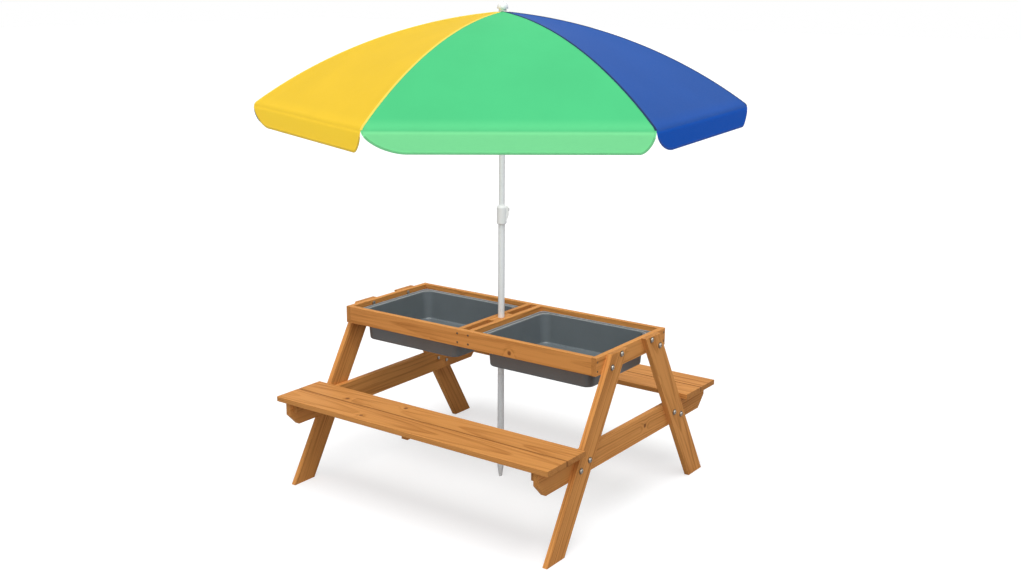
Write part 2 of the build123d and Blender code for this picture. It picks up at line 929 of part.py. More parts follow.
# Canopy: a curved panel between each two ribs, with a hanging valance
def canopy_panel(angle):
    rim = canopy_reach * panel_squeeze
    side_reach = canopy_reach * math.sin(half_panel)
    hem = curve_height(canopy_reach) - valance_depth
    flat = rib_plane(angle)
    front = Plane(origin=(0, 0, 0), x_dir=-flat.z_dir, z_dir=flat.x_dir)
    with BuildPart() as panel:
        with BuildSketch(flat):
            with BuildLine():
                top = curve_arc(0, canopy_reach, 0, panel_squeeze)
                bottom = curve_arc(0, canopy_reach - canopy_sheet, canopy_sheet, panel_squeeze)
                Polyline(
                    top @ 1,
                    (rim, hem),
                    ((canopy_reach - canopy_sheet) * panel_squeeze, hem),
                    bottom @ 1,
                )
                Line(top @ 0, bottom @ 0)
            make_face()
        extrude(amount=canopy_reach, both=True)
        with BuildSketch(Plane.XY.offset(hem)):
            with BuildLine():
                reach = 2 * canopy_reach
                turn = math.radians(angle)
                Polyline(
                    (0, 0),
                    (reach * math.cos(turn - half_panel), reach * math.sin(turn - half_panel)),
                    (reach * math.cos(turn + half_panel), reach * math.sin(turn + half_panel)),
                    close=True,
                )
            make_face()
        extrude(amount=canopy_apex - hem, mode=Mode.INTERSECT)
        with BuildSketch(front):
            with BuildLine():
                left = EllipticalCenterArc(
                    (valance_left_width - side_reach, hem + valance_left_height),
                    valance_left_width,
                    valance_left_height,
                    start_angle=180,
                    arc_size=90,
                )
                right = RadiusArc(
                    (side_reach - valance_right_corner, hem),
                    (side_reach, hem + valance_right_corner),
                    -valance_right_corner,
                )
                Line(left @ 1, right @ 0)
                Polyline(right @ 1, (side_reach, canopy_apex), (-side_reach, canopy_apex), left @ 0)
            make_face()
        extrude(amount=canopy_reach, mode=Mode.INTERSECT)
        with Locations((0, 0, canopy_apex)):
            Hole(radius=finial_stem / 2 + canopy_seat_gap)
    return panel.part


panel_middles = [angle + math.degrees(half_panel) for angle in rib_angles]
colours = ("yellow", "green", "blue")
for number, colour in enumerate(colours):
    with BuildPart() as pair:
        for angle in panel_middles[number :: len(colours)]:
            add(canopy_panel(angle))
    save(pair.part, f"canopy_{colour}")
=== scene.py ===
import json
import math
import random

import bmesh
import bpy
from bpy.props import FloatProperty, FloatVectorProperty, IntProperty, PointerProperty
from mathutils import Matrix, Vector

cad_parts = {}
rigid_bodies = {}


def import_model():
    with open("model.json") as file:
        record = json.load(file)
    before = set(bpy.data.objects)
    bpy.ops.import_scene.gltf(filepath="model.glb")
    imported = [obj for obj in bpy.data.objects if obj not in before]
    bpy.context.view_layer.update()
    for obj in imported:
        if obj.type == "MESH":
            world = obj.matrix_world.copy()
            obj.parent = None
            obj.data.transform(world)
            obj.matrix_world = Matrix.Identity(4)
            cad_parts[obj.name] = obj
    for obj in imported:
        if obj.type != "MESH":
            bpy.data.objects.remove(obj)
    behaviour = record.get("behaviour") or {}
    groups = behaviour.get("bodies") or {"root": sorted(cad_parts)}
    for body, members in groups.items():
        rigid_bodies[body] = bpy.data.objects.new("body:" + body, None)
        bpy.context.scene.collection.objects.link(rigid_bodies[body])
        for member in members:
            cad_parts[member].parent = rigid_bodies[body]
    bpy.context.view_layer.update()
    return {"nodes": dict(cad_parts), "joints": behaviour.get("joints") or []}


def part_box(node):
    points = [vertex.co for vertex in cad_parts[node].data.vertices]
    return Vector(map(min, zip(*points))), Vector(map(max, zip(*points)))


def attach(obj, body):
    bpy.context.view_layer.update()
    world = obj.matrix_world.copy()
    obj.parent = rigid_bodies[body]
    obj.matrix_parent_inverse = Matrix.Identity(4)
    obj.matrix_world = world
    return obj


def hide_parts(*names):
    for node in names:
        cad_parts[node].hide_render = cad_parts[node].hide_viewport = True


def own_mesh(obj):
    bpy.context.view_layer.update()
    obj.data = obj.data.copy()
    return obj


bl_info = {
    "name": "Picnic Table with Sunshade",
    "version": (1, 0, 0),
    "blender": (4, 5, 0),
    "location": "View3D > Sidebar > Picnic Table",
    "description": "Dresses the frame of a child's picnic table and sews its folding sunshade",
    "category": "Object",
}

MM = 0.001

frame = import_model()
joints = {joint["name"]: joint for joint in frame["joints"]}
node_names = sorted(frame["nodes"])

# The sunshade in the frame: its ribs go round from the first one anticlockwise, and each has a
# panel after it; a seam over a rib has the colour of one of its two panels
fold_joints = ["canopy_fold"] + [f"rib_{number}_fold" for number in range(2, 7)]
rib_bodies = [joints[name]["child"] for name in fold_joints]
rib_roots = [Vector(joints[name]["pos_m"]) for name in fold_joints]
rib_turns = [math.atan2(-joints[name]["axis"][0], joints[name]["axis"][1]) for name in fold_joints]
half_panel = math.pi / len(rib_turns)
panel_colours = ("yellow", "green", "blue")
seam_colours = ("blue", "yellow", "blue", "yellow", "yellow", "blue")
apex_height = max(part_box(f"canopy_{colour}")[1].z for colour in panel_colours)


class CanopySettings(bpy.types.PropertyGroup):
    """Cut and colours of the sunshade's cloth."""

    reach: FloatProperty(
        name="Reach", description="Mast to a corner", default=688 * MM, unit="LENGTH"
    )
    drop: FloatProperty(
        name="Drop", description="Height from the apex to a corner", default=253 * MM, unit="LENGTH"
    )
    crown: FloatProperty(
        name="Crown", description="Bow of a seam above its chord", default=49.5 * MM, unit="LENGTH"
    )
    sag: FloatProperty(
        name="Sag", description="Dip of the cloth between two ribs", default=5 * MM, unit="LENGTH"
    )
    thickness: FloatProperty(
        name="Thickness", description="Thickness of the cloth", default=0.5 * MM, unit="LENGTH"
    )
    crown_start: FloatProperty(
        name="Panel start", description="Radius where the panels begin",
        default=17 * MM, unit="LENGTH",
    )
    lining_start: FloatProperty(
        name="Lining start", description="Radius where the crown's lining begins",
        default=26 * MM, unit="LENGTH",
    )
    lining_end: FloatProperty(
        name="Lining end", description="Radius where the crown's lining ends",
        default=215 * MM, unit="LENGTH",
    )
    lining_width: FloatProperty(
        name="Lining width", description="Widest part of a lining, from the seam",
        default=58 * MM, unit="LENGTH",
    )
    lining_gap: FloatProperty(
        name="Lining gap", description="From the cloth down to its lining",
        default=1.3 * MM, unit="LENGTH",
    )
    lining_keep: FloatProperty(
        name="Lining keep", description="Share of the lining's width kept when folded", default=0.52
    )
    rib_room: FloatProperty(
        name="Rib room", description="From a seam to the lining's edge beside the rib",
        default=4 * MM, unit="LENGTH",
    )
    crown_patch: FloatProperty(
        name="Crown patch", description="Radius of the sewn crown patch",
        default=26 * MM, unit="LENGTH",
    )
    valance: FloatProperty(
        name="Valance", description="Depth of the hanging edge", default=57 * MM, unit="LENGTH"
    )
    rim_round: FloatProperty(
        name="Rim round", description="Length of the soft bend at the rim",
        default=11 * MM, unit="LENGTH",
    )
    left_corner: FloatVectorProperty(
        name="Left corner", description="Width and height of the valance's left corner",
        size=2, default=(105 * MM, 56 * MM), subtype="XYZ_LENGTH",
    )
    right_corner: FloatVectorProperty(
        name="Right corner", description="Width and height of the valance's right corner",
        size=2, default=(38 * MM, 55 * MM), subtype="XYZ_LENGTH",
    )
    corner_power: FloatProperty(
        name="Corner power", description="Fullness of the corners' curve: 1 is straight, 2 an ellipse",
        default=1.7,
    )
    tape_width: FloatProperty(
        name="Tape width", description="Width of the hem tape", default=5 * MM, unit="LENGTH"
    )
    tape_stand: FloatProperty(
        name="Tape stand", description="How far the tape stands off the cloth",
        default=0.5 * MM, unit="LENGTH",
    )
    welt_width: FloatProperty(
        name="Welt width", description="Width of the felled seam", default=6.5 * MM, unit="LENGTH"
    )
    welt_height: FloatProperty(
        name="Welt height", description="Height of the felled seam", default=0.9 * MM, unit="LENGTH"
    )
    pleat_offset: FloatProperty(
        name="Pleat offset", description="Distance from a rib where the folded cloth turns into the pleat",
        default=100 * MM, unit="LENGTH",
    )
    pleat_near: FloatProperty(
        name="Near keep", description="Share of the width kept beside the rib", default=0.28
    )
    pleat_far: FloatProperty(
        name="Far keep", description="Share of the width kept in the pleat", default=0.05
    )
    yellow: FloatVectorProperty(
        name="Yellow", description="Yellow panels", subtype="COLOR", default=(0.72, 0.47, 0.0265)
    )
    green: FloatVectorProperty(
        name="Green", description="Green panels", subtype="COLOR", default=(0.070, 0.519, 0.201)
    )
    blue: FloatVectorProperty(
        name="Blue", description="Blue panels", subtype="COLOR", default=(0.021, 0.088, 0.35)
    )
    # Painted light and shade: the valances are the panels' own cloth, coloured lighter or darker than the
    # panels for how the light falls on their hanging faces
    valance_yellow: FloatVectorProperty(
        name="Yellow valance", description="Yellow hanging edge", subtype="COLOR",
        default=(1.0, 0.665, 0.040),
    )
    valance_green: FloatVectorProperty(
        name="Green valance", description="Green hanging edge", subtype="COLOR",
        default=(0.236, 0.84, 0.359),
    )
    valance_blue: FloatVectorProperty(
        name="Blue valance", description="Blue hanging edge", subtype="COLOR",
        default=(0.0, 0.098, 0.56),
    )
    # Painted light and shade: the yellow seams are paler than their cloth as a painted highlight, the blue
    # ones dark navy as a painted shade
    yellow_seam: FloatVectorProperty(
        name="Yellow seam", description="Felled seams of the yellow panels", subtype="COLOR",
        default=(0.95, 0.70, 0.11),
    )
    blue_seam: FloatVectorProperty(
        name="Blue seam", description="Felled seams of the blue panels", subtype="COLOR",
        default=(0.003, 0.025, 0.09),
    )
    tape_shade: FloatProperty(
        name="Tape shade", description="Tone of the hem tape beside its cloth", default=0.78
    )


class TimberSettings(bpy.types.PropertyGroup):
    """Stain and grain of the boards."""

    early: FloatVectorProperty(
        name="Early wood", description="Stain on the soft wood", subtype="COLOR",
        default=(0.69, 0.303, 0.084),
    )
    late: FloatVectorProperty(
        name="Late wood", description="Stain on the hard rings", subtype="COLOR",
        default=(0.41, 0.153, 0.035),
    )
    end: FloatVectorProperty(
        name="End grain", description="Stain soaked into the ends", subtype="COLOR",
        default=(0.20, 0.075, 0.020),
    )
    knot: FloatVectorProperty(
        name="Knots", description="Stain on the knots", subtype="COLOR",
        default=(0.16, 0.055, 0.018),
    )
    ring_pitch: FloatProperty(
        name="Ring pitch", description="Width of a growth ring", default=4.2 * MM, unit="LENGTH"
    )
    knot_spacing: FloatProperty(
        name="Knot spacing", description="Size of a field with one knot",
        default=95 * MM, unit="LENGTH",
    )
    knot_radius: FloatProperty(
        name="Knot radius", description="Radius of a knot", default=5 * MM, unit="LENGTH"
    )
    # Painted shade: the benches' stain is darkened, so that their brightly lit tops come out less bright
    painted_bench_shade: FloatProperty(
        name="Bench shade", description="Tone of the benches against the frame's", default=0.9
    )
    # Painted shade: the bench planks are darkened beside the gaps between them, in the end-grain colour
    gap_shade_width: FloatProperty(
        name="Gap shade", description="Width of the painted shade beside a bench's gap",
        default=3.5 * MM, unit="LENGTH",
    )


class FittingSettings(bpy.types.PropertyGroup):
    """Shapes and colours of the fasteners, trays and mast."""

    segments: IntProperty(name="Segments", description="Sides of a turned fastener", default=28)
    recess_width: FloatProperty(
        name="Recess width", description="Width of the cross recess's slots",
        default=0.9 * MM, unit="LENGTH",
    )
    recess_length: FloatProperty(
        name="Recess length", description="Length of the cross recess's slots",
        default=3.9 * MM, unit="LENGTH",
    )
    recess_depth: FloatProperty(
        name="Recess depth", description="Depth of the cross recess",
        default=1.4 * MM, unit="LENGTH",
    )
    hexagon: FloatProperty(
        name="Hexagon", description="Width across the bolt's key hole",
        default=4 * MM, unit="LENGTH",
    )
    hexagon_depth: FloatProperty(
        name="Hexagon depth", description="Depth of the bolt's key hole",
        default=2 * MM, unit="LENGTH",
    )
    flange: FloatProperty(
        name="Flange", description="From a tray's edge to its inner bead",
        default=13.5 * MM, unit="LENGTH",
    )
    bead_width: FloatProperty(
        name="Bead width", description="Width of the beads on a tray's rim",
        default=2.5 * MM, unit="LENGTH",
    )
    bead_height: FloatProperty(
        name="Bead height", description="Height of the beads on a tray's rim",
        default=1.6 * MM, unit="LENGTH",
    )
    # Painted highlight: the rim beads are a paler grey than the tray, for the light that catches their
    # edges
    bead: FloatVectorProperty(
        name="Bead", description="Rim beads painted pale for a highlight", subtype="COLOR",
        default=(0.40, 0.44, 0.46),
    )
    plastic: FloatVectorProperty(
        name="Tray", description="Moulded tray", subtype="COLOR", default=(0.136, 0.157, 0.170)
    )
    enamel: FloatVectorProperty(
        name="Mast", description="Powder coat of the mast", subtype="COLOR",
        default=(0.92, 0.95, 0.96),
    )
    moulding: FloatVectorProperty(
        name="Fittings", description="White moulded fittings", subtype="COLOR",
        default=(0.94, 0.96, 0.96),
    )
    button: FloatVectorProperty(
        name="Button", description="Push button", subtype="COLOR", default=(0.10, 0.105, 0.11)
    )
    zinc: FloatVectorProperty(
        name="Zinc", description="Bright zinc", subtype="COLOR", default=(0.52, 0.49, 0.44)
    )
    washer_zinc: FloatVectorProperty(
        name="Washer zinc", description="Dull washers", subtype="COLOR", default=(0.26, 0.21, 0.15)
    )
    dark_zinc: FloatVectorProperty(
        name="Dark zinc", description="Screws", subtype="COLOR", default=(0.22, 0.17, 0.12)
    )


class StageSettings(bpy.types.PropertyGroup):
    """Camera, floor and light."""

    lens: FloatProperty(name="Lens", description="Focal length in millimetres", default=43.458)
    camera_place: FloatVectorProperty(
        name="Camera", description="Place of the camera", subtype="XYZ",
        default=(2.03513, -2.78690, 1.44727),
    )
    heading: FloatProperty(
        name="Heading", description="Turn of the camera from +Y",
        default=math.radians(35.70), subtype="ANGLE",
    )
    pitch: FloatProperty(
        name="Pitch", description="Tilt of the camera downwards",
        default=math.radians(14.081), subtype="ANGLE",
    )
    roll: FloatProperty(
        name="Roll", description="Roll of the camera", default=math.radians(0.377), subtype="ANGLE"
    )
    floor: FloatVectorProperty(
        name="Floor", description="Floor colour", subtype="COLOR", default=(0.40, 0.40, 0.405)
    )
    floor_glow: FloatProperty(
        name="Floor glow", description="Light that the camera alone sees on the floor", default=0.62
    )
    sky: FloatProperty(name="Sky", description="Strength of the light all round", default=0.32)
    key: FloatProperty(name="Key", description="Strength of the high soft lamp", default=2.55)
    key_spread: FloatProperty(
        name="Key spread", description="Apparent size of the lamps",
        default=math.radians(42), subtype="ANGLE",
    )
    fill: FloatProperty(name="Fill", description="Strength of the low front lamp", default=0.6)
    back: FloatProperty(name="Back", description="Strength of the low back lamp", default=0.3)
    cloth: FloatProperty(
        name="Cloth", description="Strength of the lamp that lights the cloth alone", default=0.9
    )


def settings(name):
    """One of the property groups, as the user has set it."""
    return getattr(bpy.context.scene, name)


def shaded(colour, tone):
    """A colour made darker by a tone under 1, or lighter by one above."""
    return [share * tone for share in colour]


# Shader nodes written as sums


class Wire:
    """A node's output that takes part in sums and products."""

    def __init__(self, nodes, socket):
        self.nodes = nodes
        self.socket = socket

    def maths(self, operation, *values):
        return self.nodes.node("ShaderNodeMath", {"operation": operation}, dict(enumerate(values)))

    def __add__(self, other):
        return self.maths("ADD", self, other)

    def __radd__(self, other):
        return self.maths("ADD", other, self)

    def __sub__(self, other):
        return self.maths("SUBTRACT", self, other)

    def __rsub__(self, other):
        return self.maths("SUBTRACT", other, self)

    def __mul__(self, other):
        return self.maths("MULTIPLY", self, other)

    def __rmul__(self, other):
        return self.maths("MULTIPLY", other, self)

    def __truediv__(self, other):
        return self.maths("DIVIDE", self, other)

    def __pow__(self, other):
        return self.maths("POWER", self, other)

    def __abs__(self):
        return self.maths("ABSOLUTE", self)

    def fraction(self):
        return self.maths("FRACT", self)

    def sine(self):
        return self.maths("SINE", self)

    def larger(self, other):
        return self.maths("MAXIMUM", self, other)

    def rise(self, start, end):
        """0 below start, 1 above end, smooth in between."""
        return self.nodes.node(
            "ShaderNodeMapRange",
            {"interpolation_type": "SMOOTHSTEP"},
            {"Value": self, "From Min": start, "From Max": end},
        )


class Nodes:
    """The node tree of a material or of the surroundings, empty at first."""

    def __init__(self, owner):
        owner.use_nodes = True
        self.tree = owner.node_tree
        self.tree.nodes.clear()

    def node(self, kind, choices=None, inputs=None, output=0):
        """Add a node of a kind, make its choices, and set or link its inputs."""
        made = self.tree.nodes.new(kind)
        for key, value in (choices or {}).items():
            setattr(made, key, value)
        for key, value in (inputs or {}).items():
            self.feed(made.inputs[key], value)
        return Wire(self, made.outputs[output]) if made.outputs else None

    def feed(self, socket, value):
        if isinstance(value, Wire):
            self.tree.links.new(value.socket, socket)
        elif socket.type == "RGBA" and len(value) == 3:
            socket.default_value = (*value, 1.0)
        else:
            socket.default_value = value


class Finish(Nodes):
    """A procedural material that is built up node by node."""

    def __init__(self, name, roughness=0.5, metallic=0.0, coat=0.0, gloss=0.5):
        self.material = bpy.data.materials.new(name)
        super().__init__(self.material)
        self.surface = self.tree.nodes.new("ShaderNodeBsdfPrincipled")
        self.node("ShaderNodeOutputMaterial", inputs={"Surface": Wire(self, self.surface.outputs[0])})
        self.set("Roughness", roughness)
        self.set("Metallic", metallic)
        self.set("Coat Weight", coat)
        self.set("Specular IOR Level", gloss)

    def set(self, name, value):
        self.feed(self.surface.inputs[name], value)

    def place(self, turn=(0.0, 0.0, 0.0), shift=(0.0, 0.0, 0.0)):
        """The object's own coordinates in metres, turned and then shifted."""
        own = self.node("ShaderNodeTexCoord", output="Object")
        inputs = {"Vector": own, "Rotation": turn, "Location": shift}
        return self.node("ShaderNodeMapping", inputs=inputs)

    def parts(self, vector):
        """The three numbers that a vector is made of."""
        split = self.tree.nodes.new("ShaderNodeSeparateXYZ")
        self.feed(split.inputs[0], vector)
        return [Wire(self, output) for output in split.outputs]

    def vector(self, x, y, z=0.0):
        return self.node("ShaderNodeCombineXYZ", inputs={0: x, 1: y, 2: z})

    def noise(self, vector, scale, detail=2.0, roughness=0.5):
        return self.node(
            "ShaderNodeTexNoise",
            inputs={"Vector": vector, "Scale": scale, "Detail": detail, "Roughness": roughness},
        )

    def mix(self, share, first, second):
        """The first colour turned into the second one by a share."""
        # A Mix node for colours has them at inputs 6 and 7 and gives its result at output 2
        choices = {"data_type": "RGBA", "blend_type": "MIX"}
        return self.node("ShaderNodeMix", choices, {0: share, 6: first, 7: second}, output=2)

    def bump(self, height, distance, strength=1.0):
        inputs = {"Height": height, "Distance": distance, "Strength": strength}
        self.set("Normal", self.node("ShaderNodeBump", inputs=inputs))


def wear(objects, material):
    for obj in objects:
        obj.data.materials.clear()
        obj.data.materials.append(material)


def dress(names, material):
    wear([frame["nodes"][name] for name in names], material)


# Pieces and their meshes


def select_only(obj):
    if bpy.context.object and bpy.context.object.mode != "OBJECT":
        bpy.ops.object.mode_set(mode="OBJECT")
    bpy.ops.object.select_all(action="DESELECT")
    obj.select_set(True)
    bpy.context.view_layer.objects.active = obj


def edit(obj):
    """Open a piece in edit mode, with all of it selected."""
    select_only(obj)
    bpy.ops.object.mode_set(mode="EDIT")
    bpy.ops.mesh.select_all(action="SELECT")


def apply_modifier(obj, kind, **choices):
    """Give a piece a modifier with these choices and apply it."""
    select_only(obj)
    modifier = obj.modifiers.new(kind.lower(), kind)
    for key, value in choices.items():
        setattr(modifier, key, value)
    bpy.ops.object.modifier_apply(modifier=modifier.name)


def soften(obj, width, segments, degrees):
    """Round the edges of a piece that are sharper than an angle."""
    limit = {"limit_method": "ANGLE", "angle_limit": math.radians(degrees)}
    apply_modifier(obj, "BEVEL", width=width, segments=segments, **limit)


def smooth(obj, degrees):
    """Shade a piece smooth, but for the edges that are sharper than an angle."""
    select_only(obj)
    bpy.ops.object.shade_smooth_by_angle(angle=math.radians(degrees))


def new_object(name, data):
    obj = bpy.data.objects.new(name, data)
    bpy.context.scene.collection.objects.link(obj)
    return obj


def new_piece(name, points, faces=(), edges=()):
    mesh = bpy.data.meshes.new(name)
    mesh.from_pydata([tuple(point) for point in points], edges, faces)
    mesh.update()
    return new_object(name, mesh)


def grid_faces(rows, columns, start=0):
    """Faces of a grid whose points lie row by row from a start, one more in a row than columns."""
    wide = columns + 1
    corners = [start + row * wide + column for row in range(rows) for column in range(columns)]
    return [(corner, corner + 1, corner + wide + 1, corner + wide) for corner in corners]


def tube(name, rings):
    """A closed tube through rings of points."""
    count = len(rings[0])
    faces = []
    for base in range(0, count * (len(rings) - 1), count):
        for side in range(count):
            other = (side + 1) % count
            faces.append((base + side, base + other, base + count + other, base + count + side))
    faces.append(tuple(range(count)))
    faces.append(tuple(count * len(rings) - 1 - side for side in range(count)))
    obj = new_piece(name, [point for ring in rings for point in ring], faces)
    shape = bmesh.new()
    shape.from_mesh(obj.data)
    bmesh.ops.recalc_face_normals(shape, faces=shape.faces)
    shape.to_mesh(obj.data)
    shape.free()
    return obj


def steps(start, end, count):
    return [start + (end - start) * number / count for number in range(count + 1)]


def with_runs(path):
    """Each point of a flat path with the direction in which the path runs there."""
    for number, point in enumerate(path):
        ahead = path[min(number + 1, len(path) - 1)]
        behind = path[max(number - 1, 0)]
        yield point, Vector((ahead[0] - behind[0], ahead[1] - behind[1])).normalized()


def corners_of(points):
    low = Vector([min(point[axis] for point in points) for axis in range(3)])
    high = Vector([max(point[axis] for point in points) for axis in range(3)])
    return low, high


# Timber


def board_axes(name):
    """Directions of a board's length and width, and its half width and half thickness."""
    low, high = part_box(name)
    size = high - low
    if name.startswith("leg_"):
        points = [vertex.co for vertex in frame["nodes"][name].data.vertices]
        foot = [point.y for point in points if point.z < low.z + MM]
        head = [point.y for point in points if point.z > high.z - MM]
        lean = sum(head) / len(head) - sum(foot) / len(foot)
        length = Vector((0.0, lean, size.z)).normalized()
        cut = max(foot) - min(foot)
        return length, Vector((1, 0, 0)).cross(length), cut * length.z / 2, size.x / 2
    order = sorted(range(3), key=lambda axis: -size[axis])
    axes = [Vector([float(axis == place) for axis in range(3)]) for place in order]
    return axes[0], axes[1], size[order[1]] / 2, size[order[2]] / 2


# The side of each bench plank, along its width, that faces the gap
gap_sides = {"seat_front_outer": 1, "seat_front_inner": -1, "seat_back_inner": 1, "seat_back_outer": -1}


def timber(name):
    """Stained fir with its grain along the board, each board cut from another place."""
    look = settings("picnic_timber")
    chance = random.Random(name)
    length, width, half_width, half_thickness = board_axes(name)
    low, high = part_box(name)
    turn = Matrix((length, width, length.cross(width)))
    finish = Finish(f"timber_{name}", gloss=0.12)
    board = finish.place(turn.to_euler("XYZ"), -(turn @ ((low + high) / 2)))
    x, y, z = finish.parts(board)
    along = x + chance.uniform(-9, 9)
    pith_y = chance.uniform(-0.6, 0.6) * half_width
    pith_z = chance.choice((-1, 1)) * chance.uniform(38, 62) * MM

    def figure(lengthwise, crosswise, detail):
        """Noise that is drawn out along the board."""
        place = finish.vector(along * lengthwise, y * crosswise, z * crosswise)
        return finish.noise(place, 1.0, detail)

    # A knot in some fields of the board, with the grain drawn round it
    field = finish.vector(along / look.knot_spacing, y / look.knot_spacing + chance.uniform(0, 9))
    cells = ("ShaderNodeTexVoronoi", {"voronoi_dimensions": "2D"}, {"Vector": field, "Scale": 1.0})
    distance = finish.node(*cells, output="Distance")
    has_knot = finish.parts(finish.node(*cells, output="Color"))[0].rise(0.89, 0.90)
    knot_share = look.knot_radius / look.knot_spacing
    rough_edge = finish.noise(finish.vector(along, y, z), 260.0) * knot_share
    knot = (1 - (distance + rough_edge * 0.6).rise(knot_share, 1.9 * knot_share)) * has_knot
    swirl = (1 - distance.rise(0.0, 6 * knot_share)) * has_knot

    # Growth rings about a pith that lies outside the board
    slow = figure(1.1, 7, 2.0)
    fine = figure(5, 60, 3.0)
    across = y + pith_y + (slow - 0.5) * 0.05
    deep = z + pith_z + along * chance.uniform(-0.02, 0.02)
    ring = (across * across + deep * deep) ** 0.5 + swirl * 1.1 * look.ring_pitch + fine * 1.2 * MM
    phase = (ring / look.ring_pitch).fraction()
    late = phase.rise(0.35, 0.92) * (1 - phase.rise(0.93, 1.0))
    fibre = figure(14, 900, 2.0)
    streak = figure(2, 120, 3.0)
    cloud = figure(2.5, 14, 2.0)
    tone = late * 0.38 + (streak - 0.5) * 1.4 + (cloud - 0.5) * 0.9 + (fibre - 0.5) * 0.9

    # Stain wears thin on the long edges and soaks into the end grain
    edge = 2.5 * MM
    near_side = abs(y).rise(half_width - edge, half_width)
    near_face = abs(z).rise(half_thickness - edge, half_thickness)
    worn = near_side * near_face * cloud.rise(0.5, 0.6)
    normal = finish.node("ShaderNodeNewGeometry", output="Normal")
    dot = {"operation": "DOT_PRODUCT"}
    facing = finish.node("ShaderNodeVectorMath", dot, {0: normal, 1: length}, output="Value")
    end_grain = abs(facing).rise(0.72, 0.8)

    # Painted shade: a darker stain on the benches stands in for less light on their tops
    shade = look.painted_bench_shade if name.startswith("seat_") else 1.0
    share = (tone + 0.15).rise(0.0, 1.0)
    colour = finish.mix(share, shaded(look.early, shade), shaded(look.late, shade))
    colour = finish.mix(worn * 0.3, colour, shaded(look.early, 1.2))
    colour = finish.mix(end_grain * 0.28, colour, look.end)
    # Painted shade: darker beside the gap between two bench planks, where shade falls into it
    if name in gap_sides:
        gap = half_width - look.gap_shade_width
        painted_gap_shade = (y * gap_sides[name]).rise(gap, half_width - look.gap_shade_width / 2)
        colour = finish.mix(painted_gap_shade * 0.6, colour, look.end)
    colour = finish.mix(knot * 0.85, colour, look.knot)
    finish.set("Base Color", colour)
    finish.set("Roughness", 0.62 + late * 0.08 + (fibre - 0.5) * 0.12)
    finish.bump(late * 0.5 + fibre * 0.5 - knot * 0.8, 0.12 * MM, 0.6)
    return finish.material


class OBJECT_OT_stain_timber(bpy.types.Operator):
    """Give every board its own stained grain"""

    bl_idname = "object.stain_timber"
    bl_label = "Stain the timber"

    def execute(self, context):
        starts = ("long_rail", "end_rail", "divider", "mast_block", "tray_bearer", "leg_back")
        starts += ("leg_front", "crossbeam", "seat_")
        for name in node_names:
            if name.startswith(starts):
                dress([name], timber(name))
        return {"FINISHED"}


# Plastic, enamel and metal


def moulded(name, colour, roughness, speckle, coat=0.0):
    """Moulded plastic with a fine grain and a few scuffs."""
    finish = Finish(name, roughness=roughness, coat=coat)
    place = finish.place()
    grain = finish.noise(place, 2600.0, 3.0, 0.6)
    cloud = finish.noise(place, 14.0, 3.0)
    scuff = finish.noise(place, 90.0, 4.0, 0.7).rise(0.62, 0.78)
    light = [min(1.0, share) for share in shaded(colour, 1.15)]
    rubbed = [share + 0.02 for share in shaded(colour, 1.5)]
    shade = finish.mix(cloud, shaded(colour, 0.92), light)
    finish.set("Base Color", finish.mix(scuff * speckle, shade, rubbed))
    finish.set("Roughness", roughness + (grain - 0.5) * 0.2 + scuff * 0.1)
    finish.bump(grain, 0.05 * MM, 0.5)
    return finish.material


def enamelled(name, colour):
    """Powder coat: a fine orange peel over steel, a little grey where hands slide it."""
    finish = Finish(name, roughness=0.32, coat=0.6)
    place = finish.place()
    peel = finish.noise(place, 700.0, 2.0)
    height = finish.parts(place)[2]
    rub = finish.noise(finish.vector(height * 6, 0.0), 9.0, 3.0).rise(0.45, 0.8)
    finish.set("Base Color", finish.mix(rub * 0.35, colour, shaded(colour, 0.86)))
    finish.set("Roughness", 0.28 + (peel - 0.5) * 0.12)
    finish.bump(peel, 0.05 * MM, 0.35)
    return finish.material


def plated(name, colour, roughness):
    """Zinc plate with a fine brushed grain and dull patches."""
    finish = Finish(name, roughness=roughness, metallic=1.0)
    place = finish.place()
    patch = finish.noise(place, 320.0, 3.0)
    finish.set("Base Color", finish.mix(patch, shaded(colour, 0.75), colour))
    finish.set("Roughness", roughness + (patch - 0.5) * 0.3)
    finish.bump(finish.noise(place, 1500.0, 2.0), 0.03 * MM, 0.5)
    return finish.material


def rim_bead(name, low, high, corner, look):
    """A rounded bead that runs round a tray's rim, its outer edge along a box's sides."""
    bpy.ops.object.select_all(action="DESELECT")
    middle = (low + high) / 2
    bpy.ops.mesh.primitive_plane_add(size=1.0, location=(middle.x, middle.y, high.z))
    bead = bpy.context.object
    bead.name = name
    bead.scale = (high.x - low.x, high.y - low.y, 1.0)
    bpy.ops.object.transform_apply(location=True, rotation=True, scale=True)
    edit(bead)
    bpy.ops.mesh.bevel(offset=corner, offset_type="OFFSET", segments=8, affect="VERTICES")
    bpy.ops.mesh.select_all(action="SELECT")
    bpy.ops.mesh.inset(thickness=look.bead_width)
    bpy.ops.mesh.delete(type="FACE")
    bpy.ops.mesh.select_all(action="SELECT")
    bpy.ops.mesh.extrude_region_move(TRANSFORM_OT_translate={"value": (0.0, 0.0, look.bead_height)})
    bpy.ops.mesh.select_all(action="SELECT")
    bpy.ops.mesh.normals_make_consistent(inside=False)
    bpy.ops.object.mode_set(mode="OBJECT")
    soften(bead, look.bead_height * 0.6, 3, 60)
    smooth(bead, 40)
    return bead


